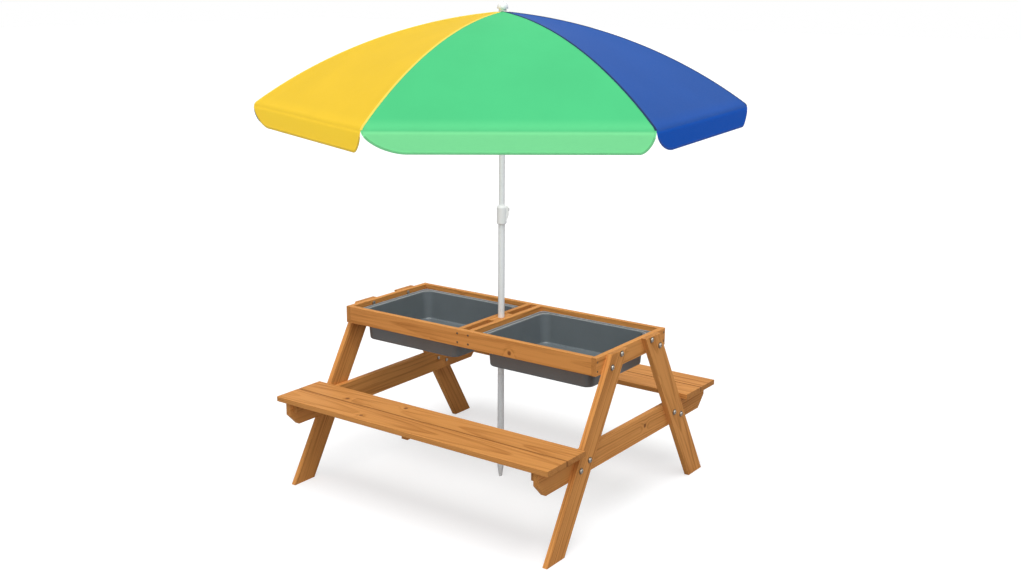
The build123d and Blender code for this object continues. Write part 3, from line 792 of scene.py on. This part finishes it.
class OBJECT_OT_mould_trays(bpy.types.Operator):
    """Give the two trays their grey moulded plastic and the beads round their rims"""

    bl_idname = "object.mould_trays"
    bl_label = "Mould the trays"

    def execute(self, context):
        look = settings("picnic_fittings")
        finish = moulded("tray_plastic", look.plastic, 0.38, 0.25, coat=0.3)
        # Painted highlight: the beads get the paler grey as the light along the tray's rim
        rubbed = moulded("tray_rim_plastic", look.bead, 0.32, 0.25, coat=0.4)
        # How far each bead lies from the tray's edge, and how far its corners are cut
        beads = {"outer": (0.0, 12 * MM), "inner": (look.flange, 26 * MM)}
        for name in ("tray_left", "tray_right"):
            dress([name], finish)
            low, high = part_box(name)
            for place, (inset, corner) in beads.items():
                step = Vector((inset, inset, 0.0))
                bead = rim_bead(f"{name}_bead_{place}", low + step, high - step, corner, look)
                wear([bead], rubbed)
                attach(bead, name)
        return {"FINISHED"}


class OBJECT_OT_paint_mast(bpy.types.Operator):
    """Powder-coat the tubes and mould the fittings of the mast"""

    bl_idname = "object.paint_mast"
    bl_label = "Paint the mast"

    def execute(self, context):
        look = settings("picnic_fittings")
        dress(["ground_tube", "main_tube", "upper_tube"], enamelled("mast_enamel", look.enamel))
        ribs = [name for name in node_names if name.startswith(("rib_", "stretcher_"))]
        dress(ribs, enamelled("rib_enamel", look.enamel))
        fittings = ["mast_tip", "height_collar", "crown_hub", "runner", "finial"]
        dress(fittings, moulded("white_moulding", look.moulding, 0.3, 0.08, coat=0.2))
        dress(["lock_button"], moulded("button_plastic", look.button, 0.45, 0.1))
        return {"FINISHED"}


# Fasteners


def turned(name, outline, segments):
    """An outline of radius and height, from axis to axis, spun about Z."""
    points = [(radius, 0.0, height) for radius, height in outline]
    obj = new_piece(name, points, edges=[(place, place + 1) for place in range(len(points) - 1)])
    edit(obj)
    bpy.ops.mesh.spin(steps=segments, angle=2 * math.pi, center=(0, 0, 0), axis=(0, 0, 1))
    bpy.ops.mesh.select_all(action="SELECT")
    bpy.ops.mesh.remove_doubles(threshold=0.005 * MM)
    bpy.ops.mesh.normals_make_consistent(inside=False)
    bpy.ops.object.mode_set(mode="OBJECT")
    return obj


def cut_with(obj, cutter):
    """Cut the cutter's shape out of a piece and throw the cutter away."""
    apply_modifier(obj, "BOOLEAN", object=cutter, operation="DIFFERENCE", solver="EXACT")
    bpy.data.objects.remove(cutter)


def solids_of(name):
    """The points of each separate solid in a node."""
    shape = bmesh.new()
    shape.from_mesh(frame["nodes"][name].data)
    bmesh.ops.remove_doubles(shape, verts=shape.verts, dist=0.005 * MM)
    solids = []
    seen = set()
    for start in shape.verts:
        if start in seen:
            continue
        group = []
        waiting = [start]
        seen.add(start)
        while waiting:
            vertex = waiting.pop()
            group.append(vertex.co.copy())
            for edge in vertex.link_edges:
                other = edge.other_vert(vertex)
                if other not in seen:
                    seen.add(other)
                    waiting.append(other)
        solids.append(group)
    shape.free()
    return solids


def head_place(points):
    """Middle of a fastener's head face, the way that it points, and its length."""
    low, high = corners_of(points)
    size = high - low
    axis = max(range(3), key=lambda place: size[place])
    centre = (low + high) / 2

    def girth(level):
        """How wide the fastener is at a level along its axis."""
        ring = [point - centre for point in points if abs(point[axis] - level) < 0.05 * MM]
        for point in ring:
            point[axis] = 0.0
        return max(point.length for point in ring)

    sign = 1 if girth(high[axis]) > girth(low[axis]) else -1
    direction = Vector([float(sign * (place == axis)) for place in range(3)])
    centre[axis] = high[axis] if sign > 0 else low[axis]
    return centre, direction, size[axis]


def copies(name, pattern, places):
    """One piece with a copy of the pattern at each place, its Z along the place's direction."""
    drive_turn = 1.7  # radians from one copy to the next, so that their recesses differ
    whole = bmesh.new()
    for number, (centre, direction) in enumerate(places):
        turn = direction.to_track_quat("Z", "Y").to_matrix().to_4x4()
        spin = Matrix.Rotation(number * drive_turn, 4, "Z")
        mesh = pattern.data.copy()
        mesh.transform(Matrix.Translation(centre) @ turn @ spin)
        whole.from_mesh(mesh)
        bpy.data.meshes.remove(mesh)
    mesh = bpy.data.meshes.new(name)
    whole.to_mesh(mesh)
    whole.free()
    obj = new_object(name, mesh)
    bpy.data.objects.remove(pattern)
    smooth(obj, 35)
    return obj


def stand_for(piece, node, finish):
    """Put a set of fasteners on the table in place of its node."""
    wear([piece], finish)
    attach(piece, "table")
    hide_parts(node)


def wood_screw(look, head_radius, shank_radius, length):
    """A countersunk screw with a cross recess, its head's face at height 0."""
    head_depth = (head_radius - shank_radius) * 1.15
    point_length = 2.2 * shank_radius
    outline = [
        (0.0, 0.0),
        (head_radius * 0.9, 0.0),
        (head_radius, -0.12 * MM),
        (head_radius, -0.3 * MM),
        (shank_radius, -head_depth),
        (shank_radius, point_length - length),
        (0.0, -length),
    ]
    screw = turned("screw", outline, look.segments)
    # Two slots that cross
    for quarter in (0.0, math.pi / 2):
        bpy.ops.mesh.primitive_cube_add(size=1.0, location=(0, 0, 0), rotation=(0, 0, quarter))
        slot = bpy.context.object
        slot.scale = (look.recess_length, look.recess_width, 2 * look.recess_depth)
        bpy.ops.object.transform_apply(location=False, rotation=True, scale=True)
        cut_with(screw, slot)
    return screw


def button_bolt(look, head, shank, length):
    """A bolt with a domed head and a six-sided key hole, its head's face at height 0."""
    dome = 3.6 * MM
    outline = [
        (0.0, 0.0),
        (head * 0.42, 0.0),
        (head * 0.72, -0.35 * MM),
        (head * 0.92, -1.2 * MM),
        (head, -2.3 * MM),
        (head, -dome + 0.3 * MM),
        (head * 0.96, -dome),
        (shank, -dome),
        (shank, 0.6 * MM - length),
        (shank * 0.8, -length),
        (0.0, -length),
    ]
    bolt = turned("bolt", outline, look.segments)
    radius = look.hexagon / math.sqrt(3)
    bpy.ops.mesh.primitive_cylinder_add(vertices=6, radius=radius, depth=2 * look.hexagon_depth)
    cut_with(bolt, bpy.context.object)
    return bolt


def hexagon_nut(look, flats, shank, height):
    """A nut with eased edges and a hole for the bolt's shank, its middle at height 0."""
    bpy.ops.mesh.primitive_cylinder_add(vertices=6, radius=flats / math.sqrt(3), depth=height)
    nut = bpy.context.object
    edit(nut)
    bpy.ops.mesh.bevel(offset=0.35 * MM, segments=2)
    bpy.ops.object.mode_set(mode="OBJECT")
    bpy.ops.mesh.primitive_cylinder_add(vertices=look.segments, radius=shank, depth=2 * height)
    cut_with(nut, bpy.context.object)
    return nut


class OBJECT_OT_drive_screws(bpy.types.Operator):
    """Cross-head screws in the frame and under the benches"""

    bl_idname = "object.drive_screws"
    bl_label = "Drive the screws"

    def execute(self, context):
        look = settings("picnic_fittings")
        finish = plated("screw_steel", look.dark_zinc, 0.42)
        shank_share = 0.545  # of the head's radius
        for node in ("frame_screws", "batten_screws"):
            solids = solids_of(node)
            places = [head_place(points) for points in solids]
            length = min(place[2] for place in places)
            low, high = corners_of(solids[0])
            head = sorted(high - low)[1] / 2
            pattern = wood_screw(look, head, head * shank_share, length)
            screws = copies(f"{node}_driven", pattern, [place[:2] for place in places])
            stand_for(screws, node, finish)
        return {"FINISHED"}


class OBJECT_OT_tighten_bolts(bpy.types.Operator):
    """Button-head bolts on the legs and the nuts inside the rails"""

    bl_idname = "object.tighten_bolts"
    bl_label = "Tighten the bolts"

    def execute(self, context):
        look = settings("picnic_fittings")
        finish = plated("zinc_steel", look.zinc, 0.3)
        dress(["leg_washers"], plated("washer_steel", look.washer_zinc, 0.45))
        shank = 3 * MM
        solids = solids_of("leg_bolts")
        places = [head_place(points) for points in solids]
        low, high = corners_of(solids[0])
        bolt = button_bolt(look, (high.z - low.z) / 2, shank, places[0][2])
        bolts = copies("leg_bolts_tight", bolt, [place[:2] for place in places])
        stand_for(bolts, "leg_bolts", finish)

        places = []
        for points in solids_of("leg_nuts"):
            low, high = corners_of(points)
            centre = (low + high) / 2
            places.append((centre, Vector((-math.copysign(1.0, centre.x), 0.0, 0.0))))
        low, high = corners_of(solids_of("leg_nuts")[0])
        nut = hexagon_nut(look, min(high.y - low.y, high.z - low.z), shank, high.x - low.x)
        stand_for(copies("leg_nuts_tight", nut, places), "leg_nuts", finish)
        return {"FINISHED"}


# Cloth of the sunshade


def seam_height(cut, radius):
    """Height of the seam above the ground at a radius from the mast."""
    chord = math.hypot(cut.reach, cut.drop)
    bow = chord**2 / (8 * cut.crown) + cut.crown / 2
    middle_radius = cut.reach / 2 - cut.drop / chord * (bow - cut.crown)
    middle_height = apex_height - cut.drop / 2 - cut.reach / chord * (bow - cut.crown)
    return middle_height + math.sqrt(bow**2 - (radius - middle_radius) ** 2)


def panel_rows(cut):
    """Rows of a panel from the crown to the hem: seam radius, height and depth below the rim."""
    rim = seam_height(cut, cut.reach)
    division = cut.pleat_offset / (math.sin(half_panel) * math.cos(half_panel))
    bend_start = cut.reach - cut.rim_round
    radii = steps(cut.crown_start, division, 9)[:-1] + steps(division, bend_start, 20)
    rows = [(radius, seam_height(cut, radius), 0.0) for radius in radii]
    first = Vector((bend_start, seam_height(cut, bend_start)))
    corner = Vector((cut.reach, rim))
    last = Vector((cut.reach, rim - cut.rim_round))
    for share in steps(0.0, 1.0, 4)[1:]:
        point = first * (1 - share) ** 2 + corner * 2 * share * (1 - share) + last * share**2
        rows.append((point.x, point.y, max(0.0, rim - point.y)))
    for share in steps(0.0, 1.0, 12)[1:]:
        depth = cut.rim_round + (cut.valance - cut.rim_round) * math.sin(share * math.pi / 2)
        rows.append((cut.reach, rim - depth, depth))
    return rows


def rim_cut_length(cut):
    """Length of the cloth from the crown to the rim, along the seam."""
    stretched = [row for row in panel_rows(cut) if row[2] <= cut.rim_round / 2]
    places = [Vector(row[:2]) for row in stretched]
    return sum((second - first).length for first, second in zip(places, places[1:]))


def corner_inset(cut, side, depth):
    """How far the valance's end is cut back at a depth below the rim."""
    width, height = cut.left_corner if side < 0 else cut.right_corner
    below = (depth - (cut.valance - height)) / height
    if below <= 0:
        return 0.0
    return width * (1 - max(0.0, 1 - below**cut.corner_power) ** (1 / cut.corner_power))


def compass(turn):
    """Directions away from the mast at a turn round it, and across that to the left."""
    out = Vector((math.cos(turn), math.sin(turn), 0.0))
    return out, Vector((-out.y, out.x, 0.0))


class PanelHalf:
    """The half of a panel beside one rib: side -1 is left as seen from outside, 1 is right."""

    def __init__(self, cut, panel, side):
        self.cut = cut
        self.side = side
        self.mark = f"{panel + 1}{'l' if side < 0 else 'r'}"
        self.rib = panel if side < 0 else (panel + 1) % len(rib_turns)
        self.out, self.tangent = compass(rib_turns[panel] + half_panel)
        self.colour = panel_colours[panel % len(panel_colours)]
        self.pleat = cut.pleat_offset / math.cos(half_panel)

    def point(self, radius, height, inset):
        """The point of the cloth at an inset from the rib's seam, along the panel."""
        half = radius * math.sin(half_panel)
        share = min(1.0, inset / half)
        drawn = math.sin(math.pi * min(1.0, radius / self.cut.reach)) * (2 - share) * share
        place = self.out * radius * math.cos(half_panel) + self.tangent * self.side * (half - inset)
        return place + Vector((0.0, 0.0, height - self.cut.sag * drawn))

    def limits(self, zone, radius, depth):
        """Insets between which a zone of the cloth lies in a row, or None."""
        half = radius * math.sin(half_panel)
        if zone == "near":
            return corner_inset(self.cut, self.side, depth), min(half, self.pleat)
        return (self.pleat, half) if half > self.pleat - 0.01 * MM else None

    def pleats(self, zone):
        """Direction, fixed point and kept share for narrowing the cloth as the ribs fold; this script
        computes them but doesn't narrow the cloth.
        """
        cut = self.cut
        across = compass(rib_turns[self.rib])[1]
        anchor = rib_roots[self.rib].copy()
        if zone == "lining":
            return across, anchor, cut.lining_keep
        if zone == "near":
            return across, anchor, cut.pleat_near
        shift = cut.pleat_offset * (cut.pleat_near - cut.pleat_far) / (1 - cut.pleat_far)
        return across, anchor - across * self.side * shift, cut.pleat_far


def thicken(obj, outward, thickness):
    """Turn a sheet's faces outward, give it its thickness, and say what area it had."""
    shape = bmesh.new()
    shape.from_mesh(obj.data)
    bmesh.ops.remove_doubles(shape, verts=shape.verts, dist=0.01 * MM)
    bmesh.ops.dissolve_degenerate(shape, dist=0.005 * MM, edges=shape.edges)
    bmesh.ops.recalc_face_normals(shape, faces=shape.faces)
    total = sum((face.normal.dot(outward) * face.calc_area() for face in shape.faces), 0.0)
    if total < 0:
        bmesh.ops.reverse_faces(shape, faces=shape.faces)
    area = sum(face.calc_area() for face in shape.faces)
    shape.to_mesh(obj.data)
    shape.free()
    apply_modifier(obj, "SOLIDIFY", thickness=thickness, offset=-1.0, use_even_offset=True)
    smooth(obj, 50)
    return area


def cut_cloth(name, half, points, places, columns):
    """A sheet through rows of points, with its cut in metres as the UV map, and its area."""
    rows = len(points) // (columns + 1) - 1
    obj = new_piece(name, points, grid_faces(rows, columns))
    cloth_map = obj.data.uv_layers.new(name="cut")
    for loop in obj.data.loops:
        cloth_map.data[loop.index].uv = places[loop.vertex_index]
    return obj, thicken(obj, half.out + Vector((0, 0, 1)), half.cut.thickness)


def cloth_wing(half, zone, columns):
    """The cloth of a zone as one sheet, with its area and its cut's width and length."""
    points = []
    places = []
    length = 0.0
    before = None
    for radius, height, depth in panel_rows(half.cut):
        if before:
            length += math.hypot(radius - before[0], height - before[1])
        before = (radius, height)
        limits = half.limits(zone, radius, depth)
        if limits:
            for inset in steps(*limits, columns):
                points.append(half.point(radius, height, inset))
                places.append((inset, length))
    obj, area = cut_cloth(f"{half.colour}_cloth_{half.mark}_{zone}", half, points, places, columns)
    return obj, area, tuple(max(axis) - min(axis) for axis in zip(*places))


def crown_lining(half):
    """A second layer under a panel's top, beside a rib, which closes the slit of the folded cloth."""
    cut = half.cut
    columns = 6
    points = []
    places = []
    for radius in steps(cut.lining_start, cut.lining_end, 12):
        height = seam_height(cut, radius) - cut.lining_gap
        for inset in steps(cut.rib_room, min(radius * math.sin(half_panel), cut.lining_width), columns):
            points.append(half.point(radius, height, inset))
            places.append((inset, radius))
    obj, area = cut_cloth(f"crown_lining_{half.mark}", half, points, places, columns)
    return obj, area, (cut.lining_width - cut.rib_room, cut.lining_end - cut.lining_start)


def hem_path(half, zone):
    """Inset and depth of the points along the valance's edge within a zone."""
    cut = half.cut
    rim_half = cut.reach * math.sin(half_panel)
    if zone == "far":
        return [(inset, cut.valance) for inset in steps(rim_half, half.pleat, 6)]
    corner = cut.left_corner if half.side < 0 else cut.right_corner
    path = [(inset, cut.valance) for inset in steps(half.pleat, corner[0], 4)[:-1]]
    depths = [depth for _, _, depth in panel_rows(cut) if depth >= cut.rim_round]
    return path + [(corner_inset(cut, half.side, depth), depth) for depth in reversed(depths)]


def hem_tape(half, zone):
    """Tape folded over the valance's edge, as a closed tube of four sides."""
    cut = half.cut
    rim = seam_height(cut, cut.reach)
    outside, inside = cut.tape_stand, -cut.thickness - cut.tape_stand
    below, above = -0.6 * MM, cut.tape_width
    section = ((below, outside), (above, outside), (above, inside), (below, inside))
    rings = []
    for (inset, depth), run in with_runs(hem_path(half, zone)):
        inward = Vector((-run.y, run.x))
        rings.append([])
        for reach, stand in section:
            point = half.point(cut.reach, rim - depth - inward.y * reach, inset + inward.x * reach)
            rings[-1].append(point + half.out * stand)
    obj = tube(f"hem_tape_{half.mark}_{zone}", rings)
    soften(obj, 0.3 * MM, 2, 50)
    smooth(obj, 50)
    return obj


def seam_welt(cut, rib):
    """The felled seam over a rib, from the crown to the corner."""
    out, tangent = compass(rib_turns[rib])
    half = cut.welt_width / 2
    section = (
        (-half, -1.3 * MM),
        (-half * 0.9, -0.1 * MM),
        (-half * 0.45, cut.welt_height),
        (half * 0.45, cut.welt_height),
        (half * 0.9, -0.1 * MM),
        (half, -1.3 * MM),
        (0.0, -0.7 * MM),
    )
    rings = []
    for (radius, height), run in with_runs([row[:2] for row in panel_rows(cut) if row[2] < 3 * MM]):
        rings.append([])
        for across, stand in section:
            place = out * (radius - run.y * stand) + tangent * across
            rings[-1].append(place + Vector((0.0, 0.0, height + run.x * stand)))
    obj = tube(f"seam_welt_{rib + 1}", rings)
    smooth(obj, 60)
    return obj


def crown_sectors(cut, halves):
    """The sewn patch at the crown over panels of one colour, and its area."""
    rows, columns = 5, 4
    hub_clearance = 8 * MM
    stand = 0.3 * MM
    points = []
    faces = []
    for half in halves:
        faces += grid_faces(rows, columns, start=len(points))
        for radius in steps(hub_clearance, cut.crown_patch, rows):
            height = seam_height(cut, radius) + stand
            for inset in steps(0.0, radius * math.sin(half_panel), columns):
                points.append(half.point(radius, height, inset))
    obj = new_piece(f"crown_patch_{halves[0].colour}", points, faces)
    return obj, thicken(obj, Vector((0, 0, 1)), cut.thickness)


def woven(name, colour, valance, rim_length):
    """Dyed polyester: a plain weave, soft clouds of tone, a line of stitches at each seam, and painted
    light and shade towards the valance.
    """
    finish = Finish(name, roughness=0.72, gloss=0.1)
    inset, length, _ = finish.parts(finish.node("ShaderNodeUVMap", {"uv_map": "cut"}))
    weave, stitch = 0.9 * MM, 3.2 * MM
    seam_line, fold_line = 5.5 * MM, rim_length + 11 * MM
    warp = (inset * (2 * math.pi / weave)).sine()
    weft = (length * (2 * math.pi / weave)).sine()
    cloud = finish.noise(finish.place(), 5.0, 3.0)
    slub = finish.noise(finish.vector(inset * 40, length * 900), 1.0, 2.0)
    wrinkle = finish.noise(finish.vector(inset * 9, length * 22), 1.0, 2.0)

    def stitches(distance, along):
        """A row of stitches on the line where the distance is 0."""
        thread = 1 - abs(distance).rise(0.3 * MM, 0.7 * MM)
        return thread * (along / stitch).fraction().rise(0.25, 0.35)

    seam_stitch = stitches(inset - seam_line, length) * inset.rise(0.0, 1 * MM)
    fold_stitch = stitches(length - fold_line, inset)

    # Painted light and shade: over a band above the rim the cloth is tinted a little towards its valance's
    # colour, and on the valance it takes that colour, which holds the valance's painted light and shade
    hanging = length.rise(rim_length, rim_length + 8 * MM)
    stretched = length.rise(rim_length - 45 * MM, rim_length - 8 * MM) * (1 - hanging)
    shade = finish.mix(cloud.rise(0.3, 0.7) * 0.5, colour, shaded(colour, 0.9))
    shade = finish.mix(stretched * 0.18, shade, valance)
    shade = finish.mix(hanging, shade, valance)
    shade = finish.mix((slub - 0.5).rise(0.0, 0.4) * 0.15, shade, shaded(colour, 0.8))
    shade = finish.mix(seam_stitch * 0.5, shade, shaded(colour, 0.6))
    finish.set("Base Color", shade)
    finish.set("Roughness", 0.68 + (slub - 0.5) * 0.15)
    relief = warp * weft * 0.12 + wrinkle * 1.2 + seam_stitch.larger(fold_stitch) * 0.6
    finish.bump(relief, 0.35 * MM, 0.5)
    return finish.material


def taped(name, colour):
    """Tape with fine ribs woven across it, in the cloth's own colour."""
    finish = Finish(name, roughness=0.7, gloss=0.25)
    place = finish.place()
    x, y, z = finish.parts(place)
    ribs = ((x + y + z) * (2 * math.pi / (0.8 * MM))).sine()
    cloud = finish.noise(place, 60.0, 3.0)
    finish.set("Base Color", finish.mix(cloud, shaded(colour, 0.85), colour))
    finish.set("Roughness", 0.65 + (cloud - 0.5) * 0.2)
    finish.bump(ribs, 0.1 * MM, 0.4)
    return finish.material


def sew_on(piece, finish, half, zone):
    """Give a piece of a panel its finish, and let it fold with the rib that it is sewn to."""
    axis, anchor, keep = half.pleats(zone)
    wear([piece], finish)
    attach(piece, rib_bodies[half.rib])
    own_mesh(piece)


class OBJECT_OT_sew_canopy(bpy.types.Operator):
    """Sew the panels with their valances, hem tapes and linings, the seams and the crown patches"""

    bl_idname = "object.sew_canopy"
    bl_label = "Sew the canopy"

    def execute(self, context):
        cut = settings("picnic_canopy")
        cloths = {}
        welts = {}
        tapes = {}
        for colour in panel_colours:
            cloth, valance = getattr(cut, colour), getattr(cut, f"valance_{colour}")
            cloths[colour] = woven(f"{colour}_polyester", cloth, valance, rim_cut_length(cut))
            # Painted light and shade: yellow seams and crown patches get a paler yellow as a painted
            # highlight, blue ones a dark navy as a painted shade
            welts[colour] = taped(f"{colour}_seam", getattr(cut, f"{colour}_seam", cloth))
            # The tapes take the valances' colours, their painted light and shade included, a tone darker
            tapes[colour] = taped(f"{colour}_tape", shaded(valance, cut.tape_shade))
        panels = range(len(rib_turns))
        halves = [PanelHalf(cut, panel, side) for panel in panels for side in (-1, 1)]
        for half in halves:
            node = f"canopy_{half.colour}"
            for zone, columns in (("near", 8), ("far", 14)):
                wing, area, flat = cloth_wing(half, zone, columns)
                sew_on(wing, cloths[half.colour], half, zone)
                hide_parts(node)
                trim = hem_tape(half, zone)
                sew_on(trim, tapes[half.colour], half, zone)
            lining, area, flat = crown_lining(half)
            sew_on(lining, cloths[half.colour], half, "lining")
        for colour in panel_colours:
            patch, area = crown_sectors(cut, [half for half in halves if half.colour == colour])
            wear([patch], welts[colour])
            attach(patch, "canopy_head")
            size = 2 * cut.crown_patch
            flat = (size * math.sin(half_panel), size)
        for rib, colour in enumerate(seam_colours):
            welt = seam_welt(cut, rib)
            wear([welt], welts[colour])
            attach(welt, rib_bodies[rib])
        return {"FINISHED"}


# Stage


def lay_floor(look):
    """A pale floor that the camera sees nearly white, while it lights the object plainly."""
    bpy.ops.object.select_all(action="DESELECT")
    bpy.ops.mesh.primitive_plane_add(size=60.0, location=(0, 0, 0))
    floor = bpy.context.object
    floor.name = "floor"
    finish = Finish("floor_paint", roughness=0.9)
    seen = finish.node("ShaderNodeLightPath", output="Is Camera Ray")
    finish.set("Base Color", look.floor)
    finish.set("Emission Color", finish.mix(seen, (0.0, 0.0, 0.0), [look.floor_glow] * 3))
    finish.set("Emission Strength", 1.0)
    wear([floor], finish.material)


def light_surroundings(look):
    """A dim sky all round, which the camera, gloss and glass see as white."""
    world = bpy.data.worlds.new("surroundings")
    bpy.context.scene.world = world
    nodes = Nodes(world)
    kinds = ("Camera", "Glossy", "Transmission")
    rays = [nodes.node("ShaderNodeLightPath", output=f"Is {kind} Ray") for kind in kinds]
    seen = rays[0].larger(rays[1]).larger(rays[2])
    sky = nodes.node("ShaderNodeBackground", inputs={"Color": (0.97, 0.985, 1.0), "Strength": look.sky})
    white = nodes.node("ShaderNodeBackground", inputs={"Color": (1.0, 1.0, 1.0)})
    chosen = nodes.node("ShaderNodeMixShader", inputs={0: seen, 1: sky, 2: white})
    nodes.node("ShaderNodeOutputWorld", inputs={0: chosen})


def cloth_group(name):
    """A collection of all the pieces of cloth on the sunshade."""
    group = bpy.data.collections.new(name)
    starts = ("hem_tape", "crown_lining", "crown_patch", "seam_welt")
    for obj in bpy.context.scene.objects:
        if "_cloth_" in obj.name or obj.name.startswith(starts):
            group.objects.link(obj)
    return group


def hang_lamps(look):
    """Soft lamps; the cloth throws no shade from them, and one lamp lights the cloth alone."""
    sunshade = cloth_group("sunshade")
    for item in sunshade.collection_objects:
        item.light_linking.link_state = "EXCLUDE"
    # Each lamp's strength and the direction that it stands in
    lamps = (
        ("key_lamp", look.key, Vector((0.20, -0.25, 0.947))),
        ("fill_lamp", look.fill, Vector((0.50, -0.72, 0.48))),
        ("back_lamp", look.back, Vector((-0.55, 0.70, 0.45))),
        ("cloth_lamp", look.cloth, Vector((-0.66, -0.74, 0.15))),
    )
    for name, strength, towards in lamps:
        data = bpy.data.lights.new(name, "SUN")
        data.energy = strength
        data.angle = look.key_spread
        lamp = new_object(name, data)
        lamp.rotation_euler = (-towards).to_track_quat("-Z", "Y").to_euler()
        lamp.light_linking.blocker_collection = sunshade
        lamp.visible_glossy = name != "back_lamp"
        if name == "cloth_lamp":
            lamp.light_linking.receiver_collection = cloth_group("lit_cloth")


def place_camera(look):
    """The camera, turned from +Y to its heading, tilted down and rolled."""
    data = bpy.data.cameras.new("camera")
    data.lens = look.lens
    data.sensor_width = 36.0
    data.sensor_fit = "HORIZONTAL"
    camera = new_object("camera", data)
    level = Matrix.Rotation(look.heading, 3, "Z") @ Matrix.Rotation(math.pi / 2 - look.pitch, 3, "X")
    turn = (level @ Matrix.Rotation(look.roll, 3, "Z")).to_4x4()
    camera.matrix_world = Matrix.Translation(look.camera_place) @ turn
    bpy.context.scene.camera = camera


class OBJECT_OT_set_stage(bpy.types.Operator):
    """Pale floor, soft lamps, white surroundings and the camera"""

    bl_idname = "object.set_stage"
    bl_label = "Set the stage"

    def execute(self, context):
        look = settings("picnic_stage")
        context.scene.view_settings.view_transform = "Standard"
        lay_floor(look)
        light_surroundings(look)
        hang_lamps(look)
        place_camera(look)
        return {"FINISHED"}


class VIEW3D_PT_picnic_table(bpy.types.Panel):
    """Sizes and colours of the picnic table, and the steps that dress it"""

    bl_label = "Picnic Table"
    bl_idname = "VIEW3D_PT_picnic_table"
    bl_space_type = "VIEW_3D"
    bl_region_type = "UI"
    bl_category = "Picnic Table"

    def draw(self, context):
        for name, group in groups.items():
            box = self.layout.box()
            box.label(text=group.__doc__)
            for key in group.__annotations__:
                box.prop(getattr(context.scene, name), key)
        for operator in operators:
            self.layout.operator(operator.bl_idname)


groups = {
    "picnic_canopy": CanopySettings,
    "picnic_timber": TimberSettings,
    "picnic_fittings": FittingSettings,
    "picnic_stage": StageSettings,
}
operators = (
    OBJECT_OT_stain_timber,
    OBJECT_OT_mould_trays,
    OBJECT_OT_paint_mast,
    OBJECT_OT_drive_screws,
    OBJECT_OT_tighten_bolts,
    OBJECT_OT_sew_canopy,
    OBJECT_OT_set_stage,
)


def register():
    for name, group in groups.items():
        bpy.utils.register_class(group)
        setattr(bpy.types.Scene, name, PointerProperty(type=group))
    for item in (*operators, VIEW3D_PT_picnic_table):
        bpy.utils.register_class(item)


def unregister():
    for item in (VIEW3D_PT_picnic_table, *reversed(operators)):
        bpy.utils.unregister_class(item)
    for name, group in groups.items():
        delattr(bpy.types.Scene, name)
        bpy.utils.unregister_class(group)


def main():
    register()
    bpy.ops.object.select_all(action="DESELECT")
    for operator in operators:
        family, name = operator.bl_idname.split(".")
        getattr(getattr(bpy.ops, family), name)()


if __name__ == "__main__":
    main()
